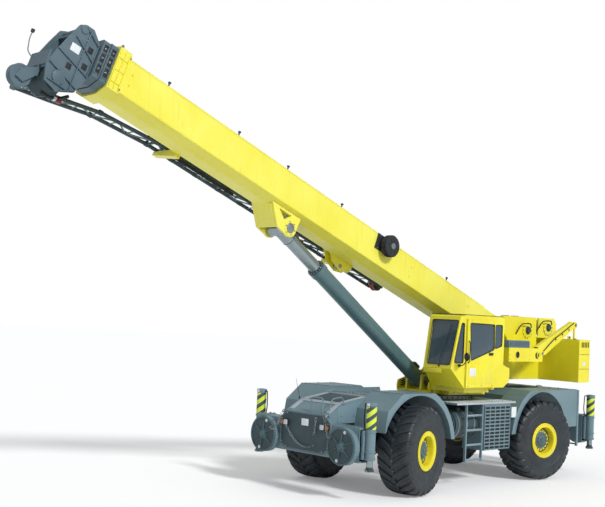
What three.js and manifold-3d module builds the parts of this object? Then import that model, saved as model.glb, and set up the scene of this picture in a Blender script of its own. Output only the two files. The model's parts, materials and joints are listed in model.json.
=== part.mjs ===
// Rough-terrain mobile crane: two-axle carrier with four outriggers, slewing turret with cab and
// counterweight, and a four-section telescopic boom raised by one lift cylinder.
// Millimetres, +Z up, +X to the machine's left (cab side), front towards -Y.
// Pieces are placed in the machine frame, whose Z axis is the slewing axis and whose Z = 0 is the
// ground. The exported group shifts that frame so that its origin is under the middle of the machine.
import * as THREE from "three";
import { mergeVertices } from "three/addons/utils/BufferGeometryUtils.js";
import Module from "manifold-3d";

const wasm = await Module();
wasm.setup();

// ---------- driving dimensions ----------
const GAP = 0.3; // between two pieces that touch
const CLEAR = 6; // between two pieces that pass each other
const PIN_GAP = 0.2; // round a pin that turns in a hole

// wheels and axles
const TYRE_RADIUS = 935;
const TYRE_WIDTH = 750;
const RIM_RADIUS = 412;
const RIM_WIDTH = 640;
const BEAD_RADIUS = 332;
const KINGPIN_X = 1045;
const HUB_OFFSET = 250; // from the kingpin out to the middle of the tyre
const FRONT_AXLE = 2631; // ahead of the slewing axis
const REAR_AXLE = 2094; // behind the slewing axis
const STEER_REST = 11.4; // degrees, front wheels to the left and rear wheels to the right
const SPINDLE_RADIUS = 120;
const AXLE_TUBE_RADIUS = 150;
const AXLE_BOWL_RADIUS = 310;
const YOKE_HEIGHT = 150; // half of the gap between the yoke's two arms

// carrier
const FRAME_HALF_WIDTH = 430;
const FRAME_BOTTOM = 1300;
const FRAME_TOP = 1830;
const DECK_THICKNESS = 40;
const DECK_HALF_WIDTH = 1470;
const FENDER_TOP = 2100;
const FENDER_INNER = 620;
const ARCH_RADIUS = 1130;
const FENDER_RADIUS = 1270;
const ARCH_SHIFT = 11; // the arches are centred this far inboard of the axles
const RING_RADIUS = 720;

// outriggers
const FRONT_JACK = 4257; // ahead of the slewing axis
const REAR_JACK = 4155; // behind the slewing axis
const JACK_X = 1584;
const BOX_DEPTH = 400;
const BOX_BOTTOM = 800;
const BOX_TOP = 1450;
const BOX_HALF_WIDTH = 1470;
const BOX_WALL = 16;
const BEAM_WALL = 12;
const JACK_TUBE_RADIUS = 98;
const JACK_ROD_RADIUS = 66;
const JACK_TOP = 1961;
const JACK_TUBE_BOTTOM = 850;
const JACK_FOOT = 624;
const JACK_STROKE = 600;
const BEAM_STROKE = 1950;
const FLOAT_RADIUS = 370;
const FLOAT_X = 1120;
const FLOAT_Z = 1075;
const FLOAT_DEPTH = 140;
const PANEL_DEPTH = 30;

// turret
const TURRET_PLATE = 40;
const TURRET_INNER = 430; // half of the gap between the two side plates
const TURRET_FLOOR = 1976;
const TURRET_FLOOR_TOP = 2056;
const TAIL_BOTTOM = 2290;
const CW_HALF_WIDTH = 1620;
const CW_FRONT = 3446;
const CW_REAR = 4088;
const CW_TOP = 3351;
const HOIST_INNER = 640;
const HOIST_PLATE = 36;
const HOIST_TOP = 3850;
const MAIN_HOIST_FRONT = 1420;
const MAIN_HOIST_REAR = 2960;
const AUX_HOIST_FRONT = 3050;
const AUX_HOIST_REAR = 3900;
const MAIN_DRUM_BACK = 2530;
const MAIN_DRUM_Z = 3520;
const AUX_DRUM_BACK = 3475;
const AUX_DRUM_Z = 3615;
const DRUM_RADIUS = 160;
const FLANGE_RADIUS = 220;
const DRUM_SHAFT_RADIUS = 70;

// cab
const CAB_RIGHT = 620;
const CAB_LEFT = 1520;
const CAB_WALL = 45;
const CAB_FLOOR = 2200;
const CAB_ROOF = 3790;
const DOOR_THICKNESS = 40;
const DOOR_FRONT = 1175;
const DOOR_BACK = 130;
const DOOR_BOTTOM = 2215;
const DOOR_TOP = 3700;
const GLASS = 8;

// boom
const BOOM_ANGLE = 19.5; // degrees above level
const BOOM_PIVOT_BACK = 1078;
const BOOM_PIVOT_Z = 3249;
const BOOM_PIN_RADIUS = 90;
const BOOM_HALF_WIDTH = 403;
const BOOM_TOP = 747;
const BOOM_FOLD = 88;
const BOOM_KEEL = -22;
const KEEL_HALF_WIDTH = 180;
const BOOM_WALL = 22;
const SECTION_STEP = 38; // each section's outline is this much inside the next larger one
const BASE_START = 250;
const HEEL_END = -260;
const BASE_END = 11820;
const COLLAR_LENGTH = 145;
const NOSE_START = 12290;
const NOSE_HALF_WIDTH = 330;
const NOSE_PLATE = 36;
const NOSE_SHEAVE_AT = [12600, -250];
const NOSE_SHEAVE_RADIUS = 225;
const NOSE_SHAFT_RADIUS = 50;
const AUX_SHEAVE_AT = [13080, -455];
const AUX_SHEAVE_RADIUS = 190;
const AUX_SHAFT_RADIUS = 45;
const AUX_SHEAVE_HALF_WIDTH = 64;

// lift cylinder
const FOOT_AHEAD = 850;
const FOOT_Z = 2270;
const FOOT_PIN_RADIUS = 80;
const EYE_ALONG = 6880; // the rod's eye, along the boom from its pivot
const EYE_BELOW = 260;
const EYE_RADIUS = 150;
const EYE_HALF_WIDTH = 200;
const EAR_INNER = 250;
const EAR_THICKNESS = 60;
const BARREL_RADIUS = 175;
const BARREL_BORE = 150;
const BARREL_LENGTH = 4240;
const ROD_RADIUS = 135;
const ROD_START = 900;
const PISTON_AT = 1400;

// stowed jib
const JIB_INNER = 535;
const JIB_WIDTH = 330;
const JIB_LOW = 105;
const JIB_HEIGHT = 480;
const JIB_TIP = 3000;
const JIB_ROOT = 12700;
const JIB_DROP = 430; // of the lower chords at the root
const CHORD_RADIUS = 38;
const CHORD_SIDES = 6;
const LACING_RADIUS = 18;

const ROUND = 24; // sides of a round piece
const WHEEL_ROUND = 28; // sides of a tyre and a rim, which must be the same

// ---------- shapes ----------
const V = (x, y, z) => new THREE.Vector3(x, y, z);
const rad = THREE.MathUtils.degToRad;

/** A closed three.js geometry as a solid that can be joined and cut. */
function solidOf(geometry) {
  geometry.deleteAttribute("normal");
  geometry.deleteAttribute("uv");
  const merged = mergeVertices(geometry.index ? geometry : geometry.clone(), 1e-4);
  return new wasm.Manifold(
    new wasm.Mesh({
      numProp: 3,
      vertProperties: merged.attributes.position.array,
      triVerts: new Uint32Array(merged.index.array),
    }),
  );
}

/** A solid's vertices and triangles as an indexed three.js geometry. */
function indexedGeometryOf(solid) {
  const mesh = solid.getMesh();
  const geometry = new THREE.BufferGeometry();
  geometry.setAttribute("position", new THREE.BufferAttribute(mesh.vertProperties, 3));
  geometry.setIndex(new THREE.BufferAttribute(mesh.triVerts, 1));
  return geometry;
}

/** A solid as a three.js geometry with flat faces. */
function geometryOf(solid) {
  const flat = indexedGeometryOf(solid).toNonIndexed();
  flat.computeVertexNormals();
  return flat;
}

/** Swaps two corners of each triangle, which turns the surface inside out. */
function flipped(geometry) {
  const index = geometry.index.array;
  for (let i = 0; i < index.length; i += 3) {
    [index[i], index[i + 1]] = [index[i + 1], index[i]];
  }
  return geometry;
}

const moved = (solid, x, y, z) => solidOf(indexedGeometryOf(solid).translate(x, y, z));
const mirroredX = (solid) => solidOf(flipped(indexedGeometryOf(solid).scale(-1, 1, 1)));
const union = (...solids) => solids.reduce((all, next) => all.add(next));
const bothSides = (solid) => solid.add(mirroredX(solid));

function box(x0, x1, y0, y1, z0, z1) {
  const geometry = new THREE.BoxGeometry(x1 - x0, y1 - y0, z1 - z0);
  geometry.translate((x0 + x1) / 2, (y0 + y1) / 2, (z0 + z1) / 2);
  return solidOf(geometry);
}

/** A round bar between two points. */
function bar(radius, from, to, sides = ROUND) {
  const along = to.clone().sub(from);
  const geometry = new THREE.CylinderGeometry(radius, radius, along.length(), sides);
  geometry.rotateY(Math.PI / sides);
  const turn = new THREE.Quaternion().setFromUnitVectors(V(0, 1, 0), along.clone().normalize());
  geometry.applyQuaternion(turn);
  geometry.translate((from.x + to.x) / 2, (from.y + to.y) / 2, (from.z + to.z) / 2);
  return solidOf(geometry);
}

const barX = (radius, x0, x1, y, z, sides) => bar(radius, V(x0, y, z), V(x1, y, z), sides);
const barZ = (radius, x, y, z0, z1, sides) => bar(radius, V(x, y, z0), V(x, y, z1), sides);

function outline(points, holes = []) {
  const shape = new THREE.Shape(points.map(([a, b]) => new THREE.Vector2(a, b)));
  shape.holes = holes.map((hole) => new THREE.Path(hole.map(([a, b]) => new THREE.Vector2(a, b))));
  return shape;
}

function extruded(points, depth, basis, start, holes) {
  const options = { depth, bevelEnabled: false, curveSegments: 1 };
  const geometry = new THREE.ExtrudeGeometry(outline(points, holes), options);
  geometry.applyMatrix4(new THREE.Matrix4().makeBasis(...basis));
  geometry.translate(start.x, start.y, start.z);
  return solidOf(geometry);
}

/** Extrudes an outline of [ahead, z] points across the machine, from x0 to x1. */
function prismX(points, x0, x1, holes) {
  return extruded(points, x1 - x0, [V(0, -1, 0), V(0, 0, 1), V(-1, 0, 0)], V(x1, 0, 0), holes);
}

/** Extrudes an outline of [x, z] points along the machine, from ahead0 back to ahead1. */
function prismY(points, ahead0, ahead1, holes) {
  return extruded(points, ahead0 - ahead1, [V(1, 0, 0), V(0, 0, 1), V(0, -1, 0)], V(0, -ahead1, 0), holes);
}

/** Extrudes an outline of [x, y] points upwards. */
function prismZ(points, z0, z1, holes) {
  return extruded(points, z1 - z0, [V(1, 0, 0), V(0, 1, 0), V(0, 0, 1)], V(0, 0, z0), holes);
}

/** Extrudes an outline of [right, up] points on a plane, from near to far along its normal. */
function onPlane(origin, right, up, points, near, far) {
  const normal = right.clone().cross(up);
  return extruded(points, far - near, [right, up, normal], origin.clone().addScaledVector(normal, near));
}

/**
 * Turns a closed outline of [radius, x] points about the X axis. The first point leads on to the one
 * with the larger x, and each radius is measured to the middle of a flat.
 */
function turnedX(points, sides = ROUND) {
  const toCorner = 1 / Math.cos(Math.PI / sides);
  const ring = [points[0], ...points.slice().reverse()];
  const geometry = new THREE.LatheGeometry(
    ring.map(([r, x]) => new THREE.Vector2(r * toCorner, x)),
    sides,
  );
  geometry.rotateY(Math.PI / sides);
  geometry.rotateZ(-Math.PI / 2);
  return solidOf(geometry);
}

/** The radius of a round hole in which a round pin of the same number of sides turns freely. */
const holeFor = (radius, sides = ROUND) => (radius + PIN_GAP) / Math.cos(Math.PI / sides);

const arc = (cx, cz, radius, from, to, steps) =>
  Array.from({ length: steps + 1 }, (_, i) => {
    const angle = rad(from + ((to - from) * i) / steps);
    return [cx + radius * Math.cos(angle), cz + radius * Math.sin(angle)];
  });

// ---------- finishes ----------
const finish = (color, roughness, metalness) =>
  new THREE.MeshStandardMaterial({ color, roughness, metalness });
const paint = {
  yellow: () => finish(0xd9cf35, 0.45, 0.1),
  grey: () => finish(0x6f8f98, 0.5, 0.2),
  darkGrey: () => finish(0x55707a, 0.5, 0.2),
  rubber: () => finish(0x23282c, 0.9, 0),
  steel: () => finish(0x9aa6a8, 0.3, 0.9),
  glass: () => finish(0x4e6070, 0.1, 0),
  black: () => finish(0x1b1d1f, 0.7, 0),
};

const machine = new THREE.Group();

function piece(name, solid, material, parent = machine) {
  const mesh = new THREE.Mesh(geometryOf(solid), material);
  mesh.name = name;
  parent.add(mesh);
  return mesh;
}

function placed(parent, x, y, z) {
  const group = new THREE.Group();
  group.position.set(x, y, z);
  parent.add(group);
  return group;
}

// ---------- carrier ----------
const BOX_FRONT = { jack: FRONT_JACK, outward: 1 };
const BOX_REAR = { jack: -REAR_JACK, outward: -1 };
const FRAME_FRONT_END = FRONT_JACK - BOX_DEPTH / 2 - GAP;
const FRAME_REAR_END = -(REAR_JACK - BOX_DEPTH / 2 - GAP);
const ENGINE = { front: -2540, back: -3590, halfWidth: 360, bottom: 1400, top: 2020 };
const HOOD = { front: -1300, halfWidth: 880, wall: 25 };
const DECK_FRONT = 1330;
const DECK_BACK = -930;

function carrierFrame() {
  const pocket = box(
    -ENGINE.halfWidth - CLEAR,
    ENGINE.halfWidth + CLEAR,
    -ENGINE.front - CLEAR,
    -ENGINE.back + CLEAR,
    ENGINE.bottom - GAP,
    FRAME_TOP + 1,
  );
  const beam = box(
    -FRAME_HALF_WIDTH,
    FRAME_HALF_WIDTH,
    -FRAME_FRONT_END,
    -FRAME_REAR_END,
    FRAME_BOTTOM,
    FRAME_TOP,
  ).subtract(pocket);
  const belly = box(-FRAME_HALF_WIDTH, FRAME_HALF_WIDTH, -1100, 800, 950, FRAME_BOTTOM + 1);
  const ring = barZ(RING_RADIUS, 0, 0, FRAME_TOP - 50, TURRET_FLOOR - GAP, 32);
  return union(beam, belly, ring);
}

/** The outrigger box is a tube across the machine. It carries two stowed floats on its outer face. */
function outriggerBox({ jack, outward }) {
  const half = BOX_DEPTH / 2;
  const shell = box(-BOX_HALF_WIDTH, BOX_HALF_WIDTH, -jack - half, -jack + half, BOX_BOTTOM, BOX_TOP);
  const tunnel = box(
    -BOX_HALF_WIDTH - 1,
    BOX_HALF_WIDTH + 1,
    -jack - half + BOX_WALL,
    -jack + half - BOX_WALL,
    BOX_BOTTOM + BOX_WALL,
    BOX_TOP - BOX_WALL,
  );
  const face = -jack - outward * half;
  const float = bar(
    FLOAT_RADIUS,
    V(FLOAT_X, face + outward * (BOX_WALL / 2), FLOAT_Z),
    V(FLOAT_X, face - outward * FLOAT_DEPTH, FLOAT_Z),
    28,
  );
  return union(shell.subtract(tunnel), bothSides(float));
}

function frontPanel() {
  const front = FRONT_JACK + BOX_DEPTH / 2;
  const points = [
    [-720, 950],
    [-560, 840],
    [560, 840],
    [720, 950],
    [720, 1480],
    [560, 1620],
    [-560, 1620],
    [-720, 1480],
  ];
  return prismY(points, front + PANEL_DEPTH, front - BOX_WALL / 2);
}

function archCut(ahead) {
  return barX(ARCH_RADIUS, FRAME_HALF_WIDTH + 1, DECK_HALF_WIDTH + 40, -ahead, TYRE_RADIUS, 40);
}

/** One front fender: the hump in front of and over the wheel, with its arch. */
function frontFender() {
  const ahead = FRONT_AXLE - ARCH_SHIFT;
  const side = [
    [ahead + 1080, 1330],
    [ahead + 1000, 1760],
    [ahead + 550, FENDER_TOP],
    ...arc(ahead, TYRE_RADIUS, FENDER_RADIUS, 113.4, 172, 7),
  ];
  const hump = prismX(side, FENDER_INNER, DECK_HALF_WIDTH);
  return hump.subtract(archCut(ahead));
}

function frontBody() {
  const deck = [
    [FRAME_FRONT_END, FRAME_TOP + GAP],
    [DECK_FRONT + GAP, FRAME_TOP + GAP],
    [DECK_FRONT + GAP, 1930],
    [3150, 1990],
    [FRAME_FRONT_END, 1850],
  ];
  const nose = [
    [FRAME_FRONT_END + GAP, BOX_TOP + GAP],
    [FRAME_FRONT_END + GAP + BOX_DEPTH - 20, BOX_TOP + GAP],
    [FRAME_FRONT_END + GAP + BOX_DEPTH - 20, 1620],
    [FRAME_FRONT_END - 20, 1850],
    [FRAME_FRONT_END - 20, FRAME_TOP + GAP],
    [FRAME_FRONT_END + GAP, FRAME_TOP + GAP],
  ];
  const centre = prismX(deck, -FENDER_INNER - 1, FENDER_INNER + 1);
  const apron = prismX(nose, -FENDER_INNER - 1, FENDER_INNER + 1);
  return union(centre, apron, bothSides(frontFender()));
}

function rearFender() {
  const ahead = -(REAR_AXLE - ARCH_SHIFT);
  const side = [
    ...arc(ahead, TYRE_RADIUS, FENDER_RADIUS, 8, 66.6, 7),
    [ahead - 1620, FENDER_TOP],
    [ahead - 1620, 1190],
    [ahead - 1060, 1190],
  ];
  const hump = prismX(side, HOOD.halfWidth - 1, DECK_HALF_WIDTH);
  return hump.subtract(archCut(ahead));
}

function rearBody() {
  const back = -(REAR_AXLE - ARCH_SHIFT) - 1620;
  const tie = box(
    -HOOD.halfWidth,
    HOOD.halfWidth,
    -back - 60,
    -back,
    FRAME_TOP + GAP,
    FENDER_TOP,
  );
  const sill = box(-HOOD.halfWidth, HOOD.halfWidth, -HOOD.front, -HOOD.front + 60, FRAME_TOP + GAP, 1950);
  const rail = (x) => box(x, x + 40, -back - 10, -back + 60, 700, FENDER_TOP - 10);
  const rungs = [730, 1060, 1390, 1720].map((z) => box(1160, 1470, -back + 15, -back + 55, z, z + 28));
  const ladder = union(rail(1150), rail(1440), ...rungs);
  return union(tie, sill, bothSides(union(rearFender(), ladder)));
}

/** A cover over the engine, open below, with a sloping front. */
function engineHood() {
  const back = -(REAR_AXLE - ARCH_SHIFT) - 1620;
  const front = HOOD.front - 60 - GAP;
  const rear = back + 60 + GAP;
  const bottom = FRAME_TOP + GAP;
  const side = (inset) => [
    [rear + inset, bottom - (inset ? 1 : 0)],
    [rear + inset, FENDER_TOP - inset],
    [front - 600, FENDER_TOP - inset],
    [front - inset, 1955 - inset],
    [front - inset, bottom - (inset ? 1 : 0)],
  ];
  const outer = prismX(side(0), -HOOD.halfWidth + 1 + GAP, HOOD.halfWidth - 1 - GAP);
  const inner = prismX(side(HOOD.wall), -HOOD.halfWidth + HOOD.wall, HOOD.halfWidth - HOOD.wall);
  return outer.subtract(inner);
}

/** The flat deck between the fenders, with a ladder down each side. */
function midDeck() {
  const top = FRAME_TOP + DECK_THICKNESS;
  const bottom = FRAME_TOP + GAP;
  const plate = box(-DECK_HALF_WIDTH, DECK_HALF_WIDTH, -DECK_FRONT, -DECK_BACK, bottom, top);
  const hole = barZ(RING_RADIUS + CLEAR, 0, 0, bottom - 5, top + 5, 32);
  const rail = (ahead) => box(DECK_HALF_WIDTH - 50, DECK_HALF_WIDTH, -ahead - 20, -ahead + 20, 590, top);
  const rungs = [610, 930, 1250, 1570].map((z) =>
    box(DECK_HALF_WIDTH - 45, DECK_HALF_WIDTH - 5, -930, -370, z, z + 28),
  );
  const ladder = union(rail(350), rail(950), ...rungs);
  return union(plate.subtract(hole), bothSides(ladder));
}

function grilleBox() {
  return box(900, DECK_HALF_WIDTH - 10, -300, 720, 800, FRAME_TOP);
}

function fuelTank() {
  const tank = bar(320, V(1050, -1200, 1380), V(1050, -400, 1380));
  const saddle = box(FRAME_HALF_WIDTH + GAP, 1050, -1000, -600, 1350, 1500);
  return union(tank, saddle);
}

function hydraulicTank() {
  const tank = box(-1400, -820, -1150, 700, 900, 1780);
  const saddle = box(-900, -FRAME_HALF_WIDTH - GAP, -800, 400, 1350, 1600);
  return union(tank, saddle);
}

function axle(ahead) {
  const tube = barX(AXLE_TUBE_RADIUS, -900, 900, -ahead, TYRE_RADIUS);
  const bowl = bar(AXLE_BOWL_RADIUS, V(0, -ahead - 190, TYRE_RADIUS), V(0, -ahead + 190, TYRE_RADIUS));
  const pad = box(230, 400, -ahead - 140, -ahead + 140, TYRE_RADIUS, FRAME_BOTTOM - GAP);
  const web = box(860, 930, -ahead - 90, -ahead + 90, TYRE_RADIUS - 210, TYRE_RADIUS + 210);
  const arm = (z0, z1) =>
    union(box(880, KINGPIN_X, -ahead - 90, -ahead + 90, z0, z1), barZ(90, KINGPIN_X, -ahead, z0, z1));
  const yoke = union(
    web,
    arm(TYRE_RADIUS + YOKE_HEIGHT, TYRE_RADIUS + 210),
    arm(TYRE_RADIUS - 210, TYRE_RADIUS - YOKE_HEIGHT),
  );
  return union(tube, bowl, bothSides(union(pad, yoke)));
}

piece("carrier_frame", carrierFrame(), paint.darkGrey());
piece("front_outrigger_box", union(outriggerBox(BOX_FRONT), frontPanel()), paint.grey());
piece("rear_outrigger_box", outriggerBox(BOX_REAR), paint.grey());
piece("front_body", frontBody(), paint.grey());
piece("rear_body", rearBody(), paint.grey());
piece("engine_hood", engineHood(), paint.grey());
piece("mid_deck", midDeck(), paint.grey());
piece("grille_box", grilleBox(), paint.grey());
piece("fuel_tank", fuelTank(), paint.darkGrey());
piece("hydraulic_tank", hydraulicTank(), paint.darkGrey());
piece(
  "engine_block",
  box(
    -ENGINE.halfWidth,
    ENGINE.halfWidth,
    -ENGINE.front,
    -ENGINE.back,
    ENGINE.bottom,
    ENGINE.top,
  ),
  paint.black(),
);
piece("front_axle", axle(FRONT_AXLE), paint.darkGrey());
piece("rear_axle", axle(-REAR_AXLE), paint.darkGrey());

// ---------- outriggers ----------
/** A beam that slides out to the left at jack = 0, with the jack's outer tube on its end. */
function outriggerBeam(lane) {
  const laneWidth = BOX_DEPTH / 2 - BOX_WALL - CLEAR - 2;
  const y0 = lane > 0 ? CLEAR / 2 : -CLEAR / 2 - laneWidth;
  const z0 = BOX_BOTTOM + BOX_WALL + GAP;
  const z1 = BOX_TOP - BOX_WALL - CLEAR;
  const start = -BOX_HALF_WIDTH + 100;
  const outer = box(start, BOX_HALF_WIDTH + 8, y0, y0 + laneWidth, z0, z1);
  const inner = box(
    start - 1,
    BOX_HALF_WIDTH - 20,
    y0 + BEAM_WALL,
    y0 + laneWidth - BEAM_WALL,
    z0 + BEAM_WALL,
    z1 - BEAM_WALL,
  );
  const endPlate = box(BOX_HALF_WIDTH + CLEAR, JACK_X - 60, -150, 150, JACK_TUBE_BOTTOM + 10, BOX_TOP - 30);
  const tube = barZ(JACK_TUBE_RADIUS, JACK_X, 0, JACK_TUBE_BOTTOM, JACK_TOP);
  const bore = barZ(JACK_ROD_RADIUS + GAP, JACK_X, 0, JACK_TUBE_BOTTOM - 1, JACK_TOP - 40);
  return union(outer.subtract(inner), endPlate, tube).subtract(bore);
}

/** The jack's rod with its flat foot. */
function jackRod() {
  const rod = barZ(JACK_ROD_RADIUS, JACK_X, 0, JACK_FOOT + 10, JACK_TOP - 150);
  return union(rod, barZ(90, JACK_X, 0, JACK_FOOT, JACK_FOOT + 45));
}

for (const [end, ahead] of [
  ["front", FRONT_JACK],
  ["rear", -REAR_JACK],
]) {
  for (const [side, lane] of [
    ["left", 1],
    ["right", -1],
  ]) {
    const turn = side === "left" ? (solid) => solid : mirroredX;
    const beam = moved(turn(outriggerBeam(lane)), 0, -ahead, 0);
    piece(`outrigger_beam_${end}_${side}`, beam, paint.grey());
    piece(`jack_rod_${end}_${side}`, moved(turn(jackRod()), 0, -ahead, 0), paint.steel());
  }
}

// ---------- wheels ----------
/** Hub at the kingpin, with the spindle that carries a left wheel. */
function knuckle() {
  const housing = barZ(78, 0, 0, -YOKE_HEIGHT + GAP, YOKE_HEIGHT - GAP);
  const spindle = barX(SPINDLE_RADIUS, 20, HUB_OFFSET + 60, 0, 0);
  return union(housing, spindle);
}

/** Tyre about its own middle. */
function tyre() {
  const half = TYRE_WIDTH / 2;
  const seat = RIM_WIDTH / 2;
  return turnedX(
    [
      [BEAD_RADIUS + GAP, -seat],
      [BEAD_RADIUS + GAP, seat],
      [TYRE_RADIUS * 0.56, half * 0.93],
      [TYRE_RADIUS * 0.75, half],
      [TYRE_RADIUS * 0.91, half * 0.97],
      [TYRE_RADIUS * 0.985, half * 0.83],
      [TYRE_RADIUS, half * 0.55],
      [TYRE_RADIUS, -half * 0.55],
      [TYRE_RADIUS * 0.985, -half * 0.83],
      [TYRE_RADIUS * 0.91, -half * 0.97],
      [TYRE_RADIUS * 0.75, -half],
      [TYRE_RADIUS * 0.56, -half * 0.93],
    ],
    WHEEL_ROUND,
  );
}

/** Left rim: a barrel with a dished disc that is carried on the spindle's end. */
function rim() {
  const seat = RIM_WIDTH / 2;
  const discIn = 60 + GAP;
  return turnedX(
    [
      [0, discIn],
      [0, discIn + 90],
      [150, discIn + 90],
      [170, discIn + 40],
      [BEAD_RADIUS - 60, discIn + 60],
      [BEAD_RADIUS - 40, seat],
      [BEAD_RADIUS - 10, seat + 32],
      [RIM_RADIUS, seat + 32],
      [RIM_RADIUS, seat + 22],
      [BEAD_RADIUS, seat + GAP],
      [BEAD_RADIUS, -seat],
      [BEAD_RADIUS - 22, -seat],
      [BEAD_RADIUS - 22, 0],
      [SPINDLE_RADIUS + 40, discIn],
    ],
    WHEEL_ROUND,
  );
}

for (const [end, ahead, steer] of [
  ["front", FRONT_AXLE, STEER_REST],
  ["rear", -REAR_AXLE, -STEER_REST],
]) {
  for (const [side, sign] of [
    ["left", 1],
    ["right", -1],
  ]) {
    const group = placed(machine, sign * KINGPIN_X, -ahead, TYRE_RADIUS);
    group.rotation.z = rad(steer);
    const turn = sign > 0 ? (solid) => solid : mirroredX;
    const offset = sign * HUB_OFFSET;
    piece(`steering_knuckle_${end}_${side}`, turn(knuckle()), paint.darkGrey(), group);
    piece(`rim_${end}_${side}`, moved(turn(rim()), offset, 0, 0), paint.yellow(), group);
    piece(`tyre_${end}_${side}`, moved(tyre(), offset, 0, 0), paint.rubber(), group);
  }
}

// ---------- turret ----------
const PLATE_OUT = TURRET_INNER + TURRET_PLATE;
const LUG_INNER = BARREL_RADIUS + CLEAR + 2;
const LUG_OUTER = LUG_INNER + 50;
const turret = placed(machine, 0, 0, 0);

/** The two upright side plates, the floor on the slewing ring, the cab's platform and the tail. */
function turretFrame() {
  const side = [
    [1010, TURRET_FLOOR],
    [1060, 2120],
    [1030, 2240],
    [700, 2330],
    [150, 2480],
    [-300, 2900],
    [-850, 3470],
    [-1300, 3520],
    [-1900, 3100],
    [-CW_FRONT + GAP, 3100],
    [-CW_FRONT + GAP, TAIL_BOTTOM],
    [-1150, TAIL_BOTTOM],
    [-900, TURRET_FLOOR],
  ];
  const plate = prismX(side, TURRET_INNER, PLATE_OUT);
  const lug = prismX(
    [
      [650, 2030],
      [1040, 2030],
      [1010, 2400],
      [700, 2400],
    ],
    LUG_INNER,
    LUG_OUTER,
  );
  const floor = box(-760, 760, -700, 700, TURRET_FLOOR, TURRET_FLOOR_TOP);
  const nose = box(-TURRET_INNER - 1, TURRET_INNER + 1, -1010, -650, TURRET_FLOOR, TURRET_FLOOR_TOP);
  const tail = box(
    -TURRET_INNER - 1,
    TURRET_INNER + 1,
    1300,
    CW_FRONT - GAP,
    TAIL_BOTTOM,
    TAIL_BOTTOM + 50,
  );
  const cabBeam = box(TURRET_INNER, CAB_LEFT - 120, -1000, -80, 2090, CAB_FLOOR - GAP);
  const cabPost = box(TURRET_INNER, 760, -690, 300, 2040, CAB_FLOOR - GAP);
  const pinBore = barX(holeFor(BOOM_PIN_RADIUS), -600, 600, BOOM_PIVOT_BACK, BOOM_PIVOT_Z);
  const footBore = barX(holeFor(FOOT_PIN_RADIUS), -LUG_OUTER - 5, LUG_OUTER + 5, -FOOT_AHEAD, FOOT_Z);
  const frame = union(bothSides(union(plate, lug)), floor, nose, tail, cabBeam, cabPost);
  const boxes = union(sideBox(760), mirroredX(sideBox(1700)));
  return union(frame, boxes, hoistFrame()).subtract(pinBore).subtract(footBore);
}

/** A box beside the plate, from start back, and the arm that lifts the counterweight. */
function sideBox(start) {
  const cabinet = box(PLATE_OUT - 1, 1350, start, 2210, 2780, 3100);
  const arm = prismX(
    [
      [-2080, 2900],
      [-1960, 3130],
      [-3560, 3790],
      [-3760, 3790],
      [-3800, 3640],
      [-3680, 3640],
      [-2350, 2950],
    ],
    1240,
    1340,
  );
  const link = bar(28, V(1290, 3740, 3700), V(1290, 3740, CW_TOP + GAP), 12);
  return union(cabinet, arm, link);
}

/** Upright plates that carry the two hoist drums over the tail. */
function hoistFrame() {
  const outer = HOIST_INNER + HOIST_PLATE;
  const mainCheek = prismX(
    [
      [-MAIN_HOIST_REAR, 3060],
      [-MAIN_HOIST_FRONT - 500, 3060],
      [-MAIN_HOIST_FRONT, 3560],
      [-MAIN_HOIST_FRONT, HOIST_TOP],
      [-MAIN_HOIST_REAR, HOIST_TOP],
    ],
    HOIST_INNER,
    outer,
  );
  const auxCheek = prismX(
    [
      [-AUX_HOIST_REAR, CW_TOP + GAP],
      [-AUX_HOIST_FRONT, CW_TOP + GAP],
      [-AUX_HOIST_FRONT, HOIST_TOP],
      [-AUX_HOIST_REAR + 120, HOIST_TOP],
      [-AUX_HOIST_REAR, HOIST_TOP - 120],
    ],
    HOIST_INNER,
    outer,
  );
  const mainBase = box(-outer, outer, MAIN_HOIST_FRONT + 560, MAIN_HOIST_REAR, 3060, 3130);
  const auxBase = box(-outer, outer, AUX_HOIST_FRONT, AUX_HOIST_REAR, CW_TOP + GAP, 3385);
  const step = box(-outer, outer, MAIN_HOIST_REAR - 40, AUX_HOIST_FRONT + 40, 3061, 3384);
  const stepCut = box(-outer - 1, outer + 1, MAIN_HOIST_REAR + 20, AUX_HOIST_FRONT + 41, 3000, CW_TOP + GAP);
  const hub = (back, z) => barX(DRUM_SHAFT_RADIUS + 25, HOIST_INNER - 30, HOIST_INNER + 10, back, z);
  const hubs = union(hub(MAIN_DRUM_BACK, MAIN_DRUM_Z), hub(AUX_DRUM_BACK, AUX_DRUM_Z));
  return union(bothSides(union(mainCheek, auxCheek, hubs)), mainBase, auxBase, step.subtract(stepCut));
}

function counterweight() {
  const slab = prismZ(
    [
      [-CW_HALF_WIDTH, CW_FRONT],
      [CW_HALF_WIDTH, CW_FRONT],
      [CW_HALF_WIDTH, CW_REAR - 120],
      [CW_HALF_WIDTH - 160, CW_REAR],
      [-CW_HALF_WIDTH + 160, CW_REAR],
      [-CW_HALF_WIDTH, CW_REAR - 120],
    ],
    TAIL_BOTTOM,
    CW_TOP,
  );
  return slab;
}

/** A winch drum with its flanges, on stub shafts. */
function drum() {
  const half = HOIST_INNER - 30 - GAP;
  return turnedX([
    [0, -half],
    [0, half],
    [DRUM_SHAFT_RADIUS, half],
    [DRUM_SHAFT_RADIUS, half - 45],
    [FLANGE_RADIUS, half - 45],
    [FLANGE_RADIUS, half - 75],
    [DRUM_RADIUS, half - 75],
    [DRUM_RADIUS, -half + 75],
    [FLANGE_RADIUS, -half + 75],
    [FLANGE_RADIUS, -half + 45],
    [DRUM_SHAFT_RADIUS, -half + 45],
    [DRUM_SHAFT_RADIUS, -half],
  ]);
}

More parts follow.
